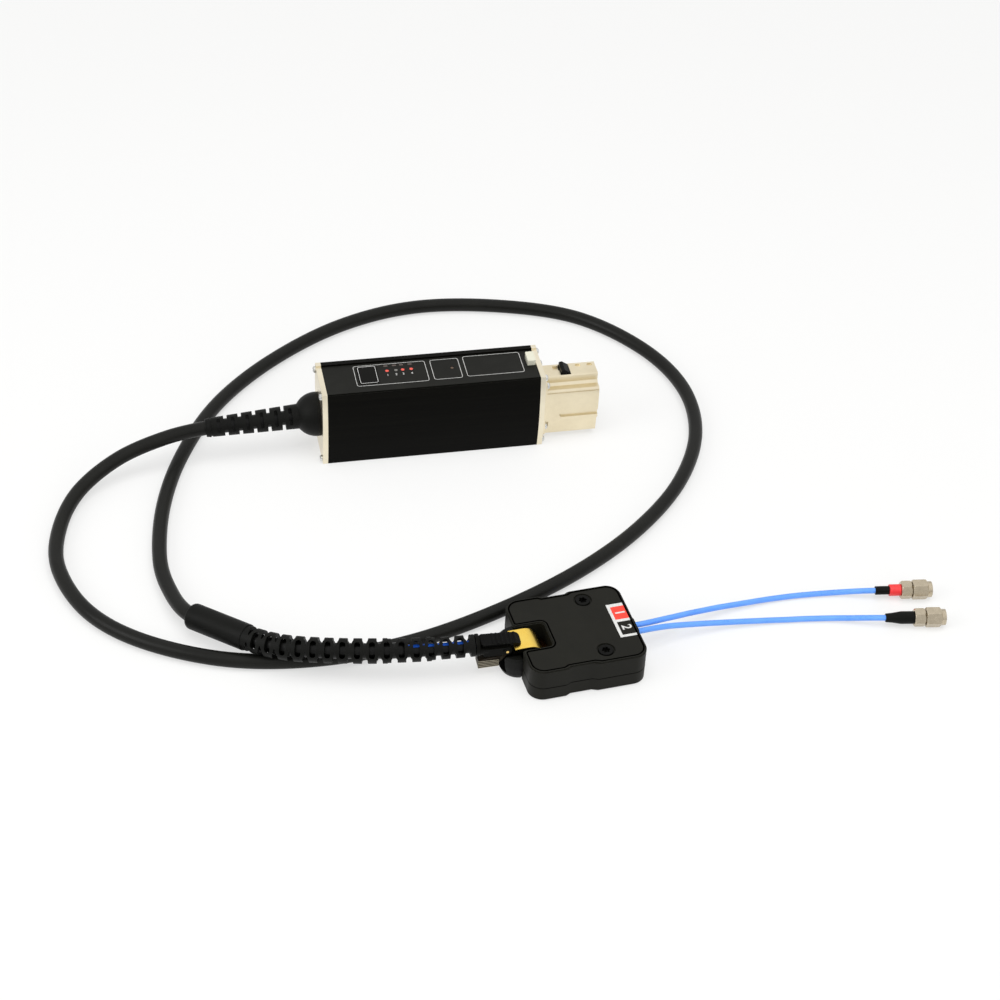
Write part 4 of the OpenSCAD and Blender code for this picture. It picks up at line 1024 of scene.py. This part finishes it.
def lever_rows():
    """Pale ridges along the lever, with bars of painted shade between them, that run together to the front.
    """
    count = 2 * LEVER_ROWS - 1
    bars = [lever_row(i / (count - 1), GROOVE_SIZE if i % 2 else RIDGE_SIZE) for i in range(count)]
    for name, rows, paint in (("lever_rows", bars[::2], "lever_nickel"),
                              ("lever_groove_shade", bars[1::2], "shaded_groove")):
        ridges = joined(rows)
        finish_modifier(ridges, "BEVEL", width=0.06 * MM, segments=2)
        attach(ridges, name, BODY_OF["lower_lever"], PAINT[paint])


def head_pieces():
    """The clip head: its shell, jaws, lever and pin, and what grips the adapter's tongue."""
    for node in ("head_collar", "head_body"):
        softened(node, 0.2, PAINT["black_key"])
    softened("upper_jaw", 0.15, PAINT["ribbed_jaw"])
    # The lower lever is painted in the dark groove colour, as painted shade behind the pale ridges.
    softened("lower_lever", 0.12, PAINT["shaded_groove"])
    softened("lower_jaw", 0.15, PAINT["black_key"])
    lever_rows()
    softened("clip_cradle", 0.4, PAINT["black_rubber"], segments=3)
    softened("flex_tongue", 0.08, PAINT["gold_tongue"])
    dress("head_board", PAINT["circuit_board"])
    dress("pivot_pin", PAINT["gold_plating"])
    dress("clip_spring", PAINT["bright_steel"])


def on_outline(ends):
    """Whether an edge of the adapter, in millimetres, is on its outline and not round a hole in it."""
    middle = (ends[0] + ends[1]) / 2 - Vector((*ADAPTER_AT, 0))
    spot = (Matrix.Rotation(-ADAPTER_TURN, 3, "Z") @ middle).to_2d()
    if all(low < value < high for value, (low, high) in zip(spot, ADAPTER_INSIDE)):
        return False
    return all((spot - Vector(screw)).length > SCREW_HOLE for screw in ADAPTER_SCREWS)


def keep_outline(piece, height):
    """Leaves only the outline of the piece's flat top at this height, as bare edges."""
    mesh = piece.data
    bpy.ops.object.mode_set(mode="EDIT")
    bpy.ops.mesh.select_all(action="DESELECT")
    bpy.ops.object.mode_set(mode="OBJECT")
    for face in mesh.polygons:
        face.select = face.normal.z > 0.99 and abs(face.center.z - height * MM) < 5e-5
    bpy.ops.object.mode_set(mode="EDIT")
    bpy.ops.mesh.select_mode(type="FACE")
    bpy.ops.mesh.region_to_loop()
    bpy.ops.object.mode_set(mode="OBJECT")
    outline = set()
    for edge in mesh.edges:
        if edge.select and on_outline([mesh.vertices[v].co / MM for v in edge.vertices]):
            outline.update(edge.vertices)
    for part in (*mesh.polygons, *mesh.edges):
        part.select = False
    for vertex in mesh.vertices:
        vertex.select = vertex.index not in outline
    bpy.ops.object.mode_set(mode="EDIT")
    bpy.ops.mesh.select_mode(type="VERT")
    bpy.ops.mesh.delete(type="VERT")
    bpy.ops.object.mode_set(mode="OBJECT")


def seam_line(node, height, name, radius, sink):
    """A fine dark line of painted shade in the joint round an adapter piece, sunk below this height."""
    line = copied(node)
    keep_outline(line, height)
    bpy.ops.object.convert(target="CURVE")
    line = bpy.context.active_object
    line.data.bevel_depth = radius * MM
    line.data.bevel_resolution = 2
    bpy.ops.object.convert(target="MESH")
    line = bpy.context.active_object
    line.location = (0, 0, -sink * MM)
    settle(line)
    smooth_by_angle(line, 60)
    attach(line, name, "root", PAINT["shaded_gap"])


def notch_floor():
    """The floor of the notch under the tongue."""
    floor = added(bpy.ops.mesh.primitive_cube_add, size=1)
    floor.scale = (13.6 * MM, 15 * MM, 2 * MM)
    floor.location = (-19.3 * MM, -0.45 * MM, 1.5 * MM)
    floor = on_adapter(settle(floor))
    finish_modifier(floor, "BEVEL", width=0.25 * MM, segments=2)
    attach(floor, "notch_floor", "root", PAINT["dark_plastic"])


def adapter_pieces():
    """The adapter: its base, top and cover, its screws and grommet, and dark lines of painted shade where
    they meet.
    """
    for node, width in (("adapter_base", 0.2), ("adapter_top", 0.25), ("adapter_cover", 0.2)):
        softened(node, width, PAINT["dark_plastic"])
    softened("adapter_screws", 0.12, PAINT["black_steel"])
    softened("coax_grommet", 0.2, PAINT["black_rubber"])
    dress("adapter_board", PAINT["circuit_board"])
    notch_floor()
    seam_line("adapter_cover", COVER_Z, "cover_seam_shade", radius=0.45, sink=0.17)
    seam_line("adapter_base", PARTING_Z, "parting_seam_shade", radius=0.35, sink=0)


def lead_ends():
    """The pieces on each coax lead; the ones that serve both go with the second."""
    made = {}
    for node, width, paint in (
            ("lead_boots", 0.25, "black_rubber"),
            ("channel_band", 0.2, "red_sleeve"),
            ("connector_body_a", 0.12, "connector_steel"),
            ("connector_body_b", 0.12, "connector_steel"),
            ("coupling_nut_a", 0.12, "connector_steel"),
            ("coupling_nut_b", 0.12, "connector_steel")):
        made[node] = softened(node, width, PAINT[paint])
    dress("snap_rings", PAINT["gold_plating"])
    dress("dielectric_beads", PAINT["white_insulator"])
    dress("centre_pins", PAINT["gold_plating"])
    ends_a = [made["channel_band"], made["connector_body_a"], made["coupling_nut_a"]]
    ends_b = [made["lead_boots"], made["connector_body_b"], made["coupling_nut_b"],
              NODES["snap_rings"], NODES["dielectric_beads"], NODES["centre_pins"]]
    return ends_a, ends_b


# ---------- Everything in turn, the camera and the cords first ----------

place_camera()
leads = lay_cords()
ends = lead_ends()
box_pieces()
plug_pieces()
cable_pieces()
head_pieces()
adapter_pieces()
nut_threads()
label_outlines()
mode_marks()
mode_lamps()
channel_label()
white_floor()
even_sky()
soft_boxes()
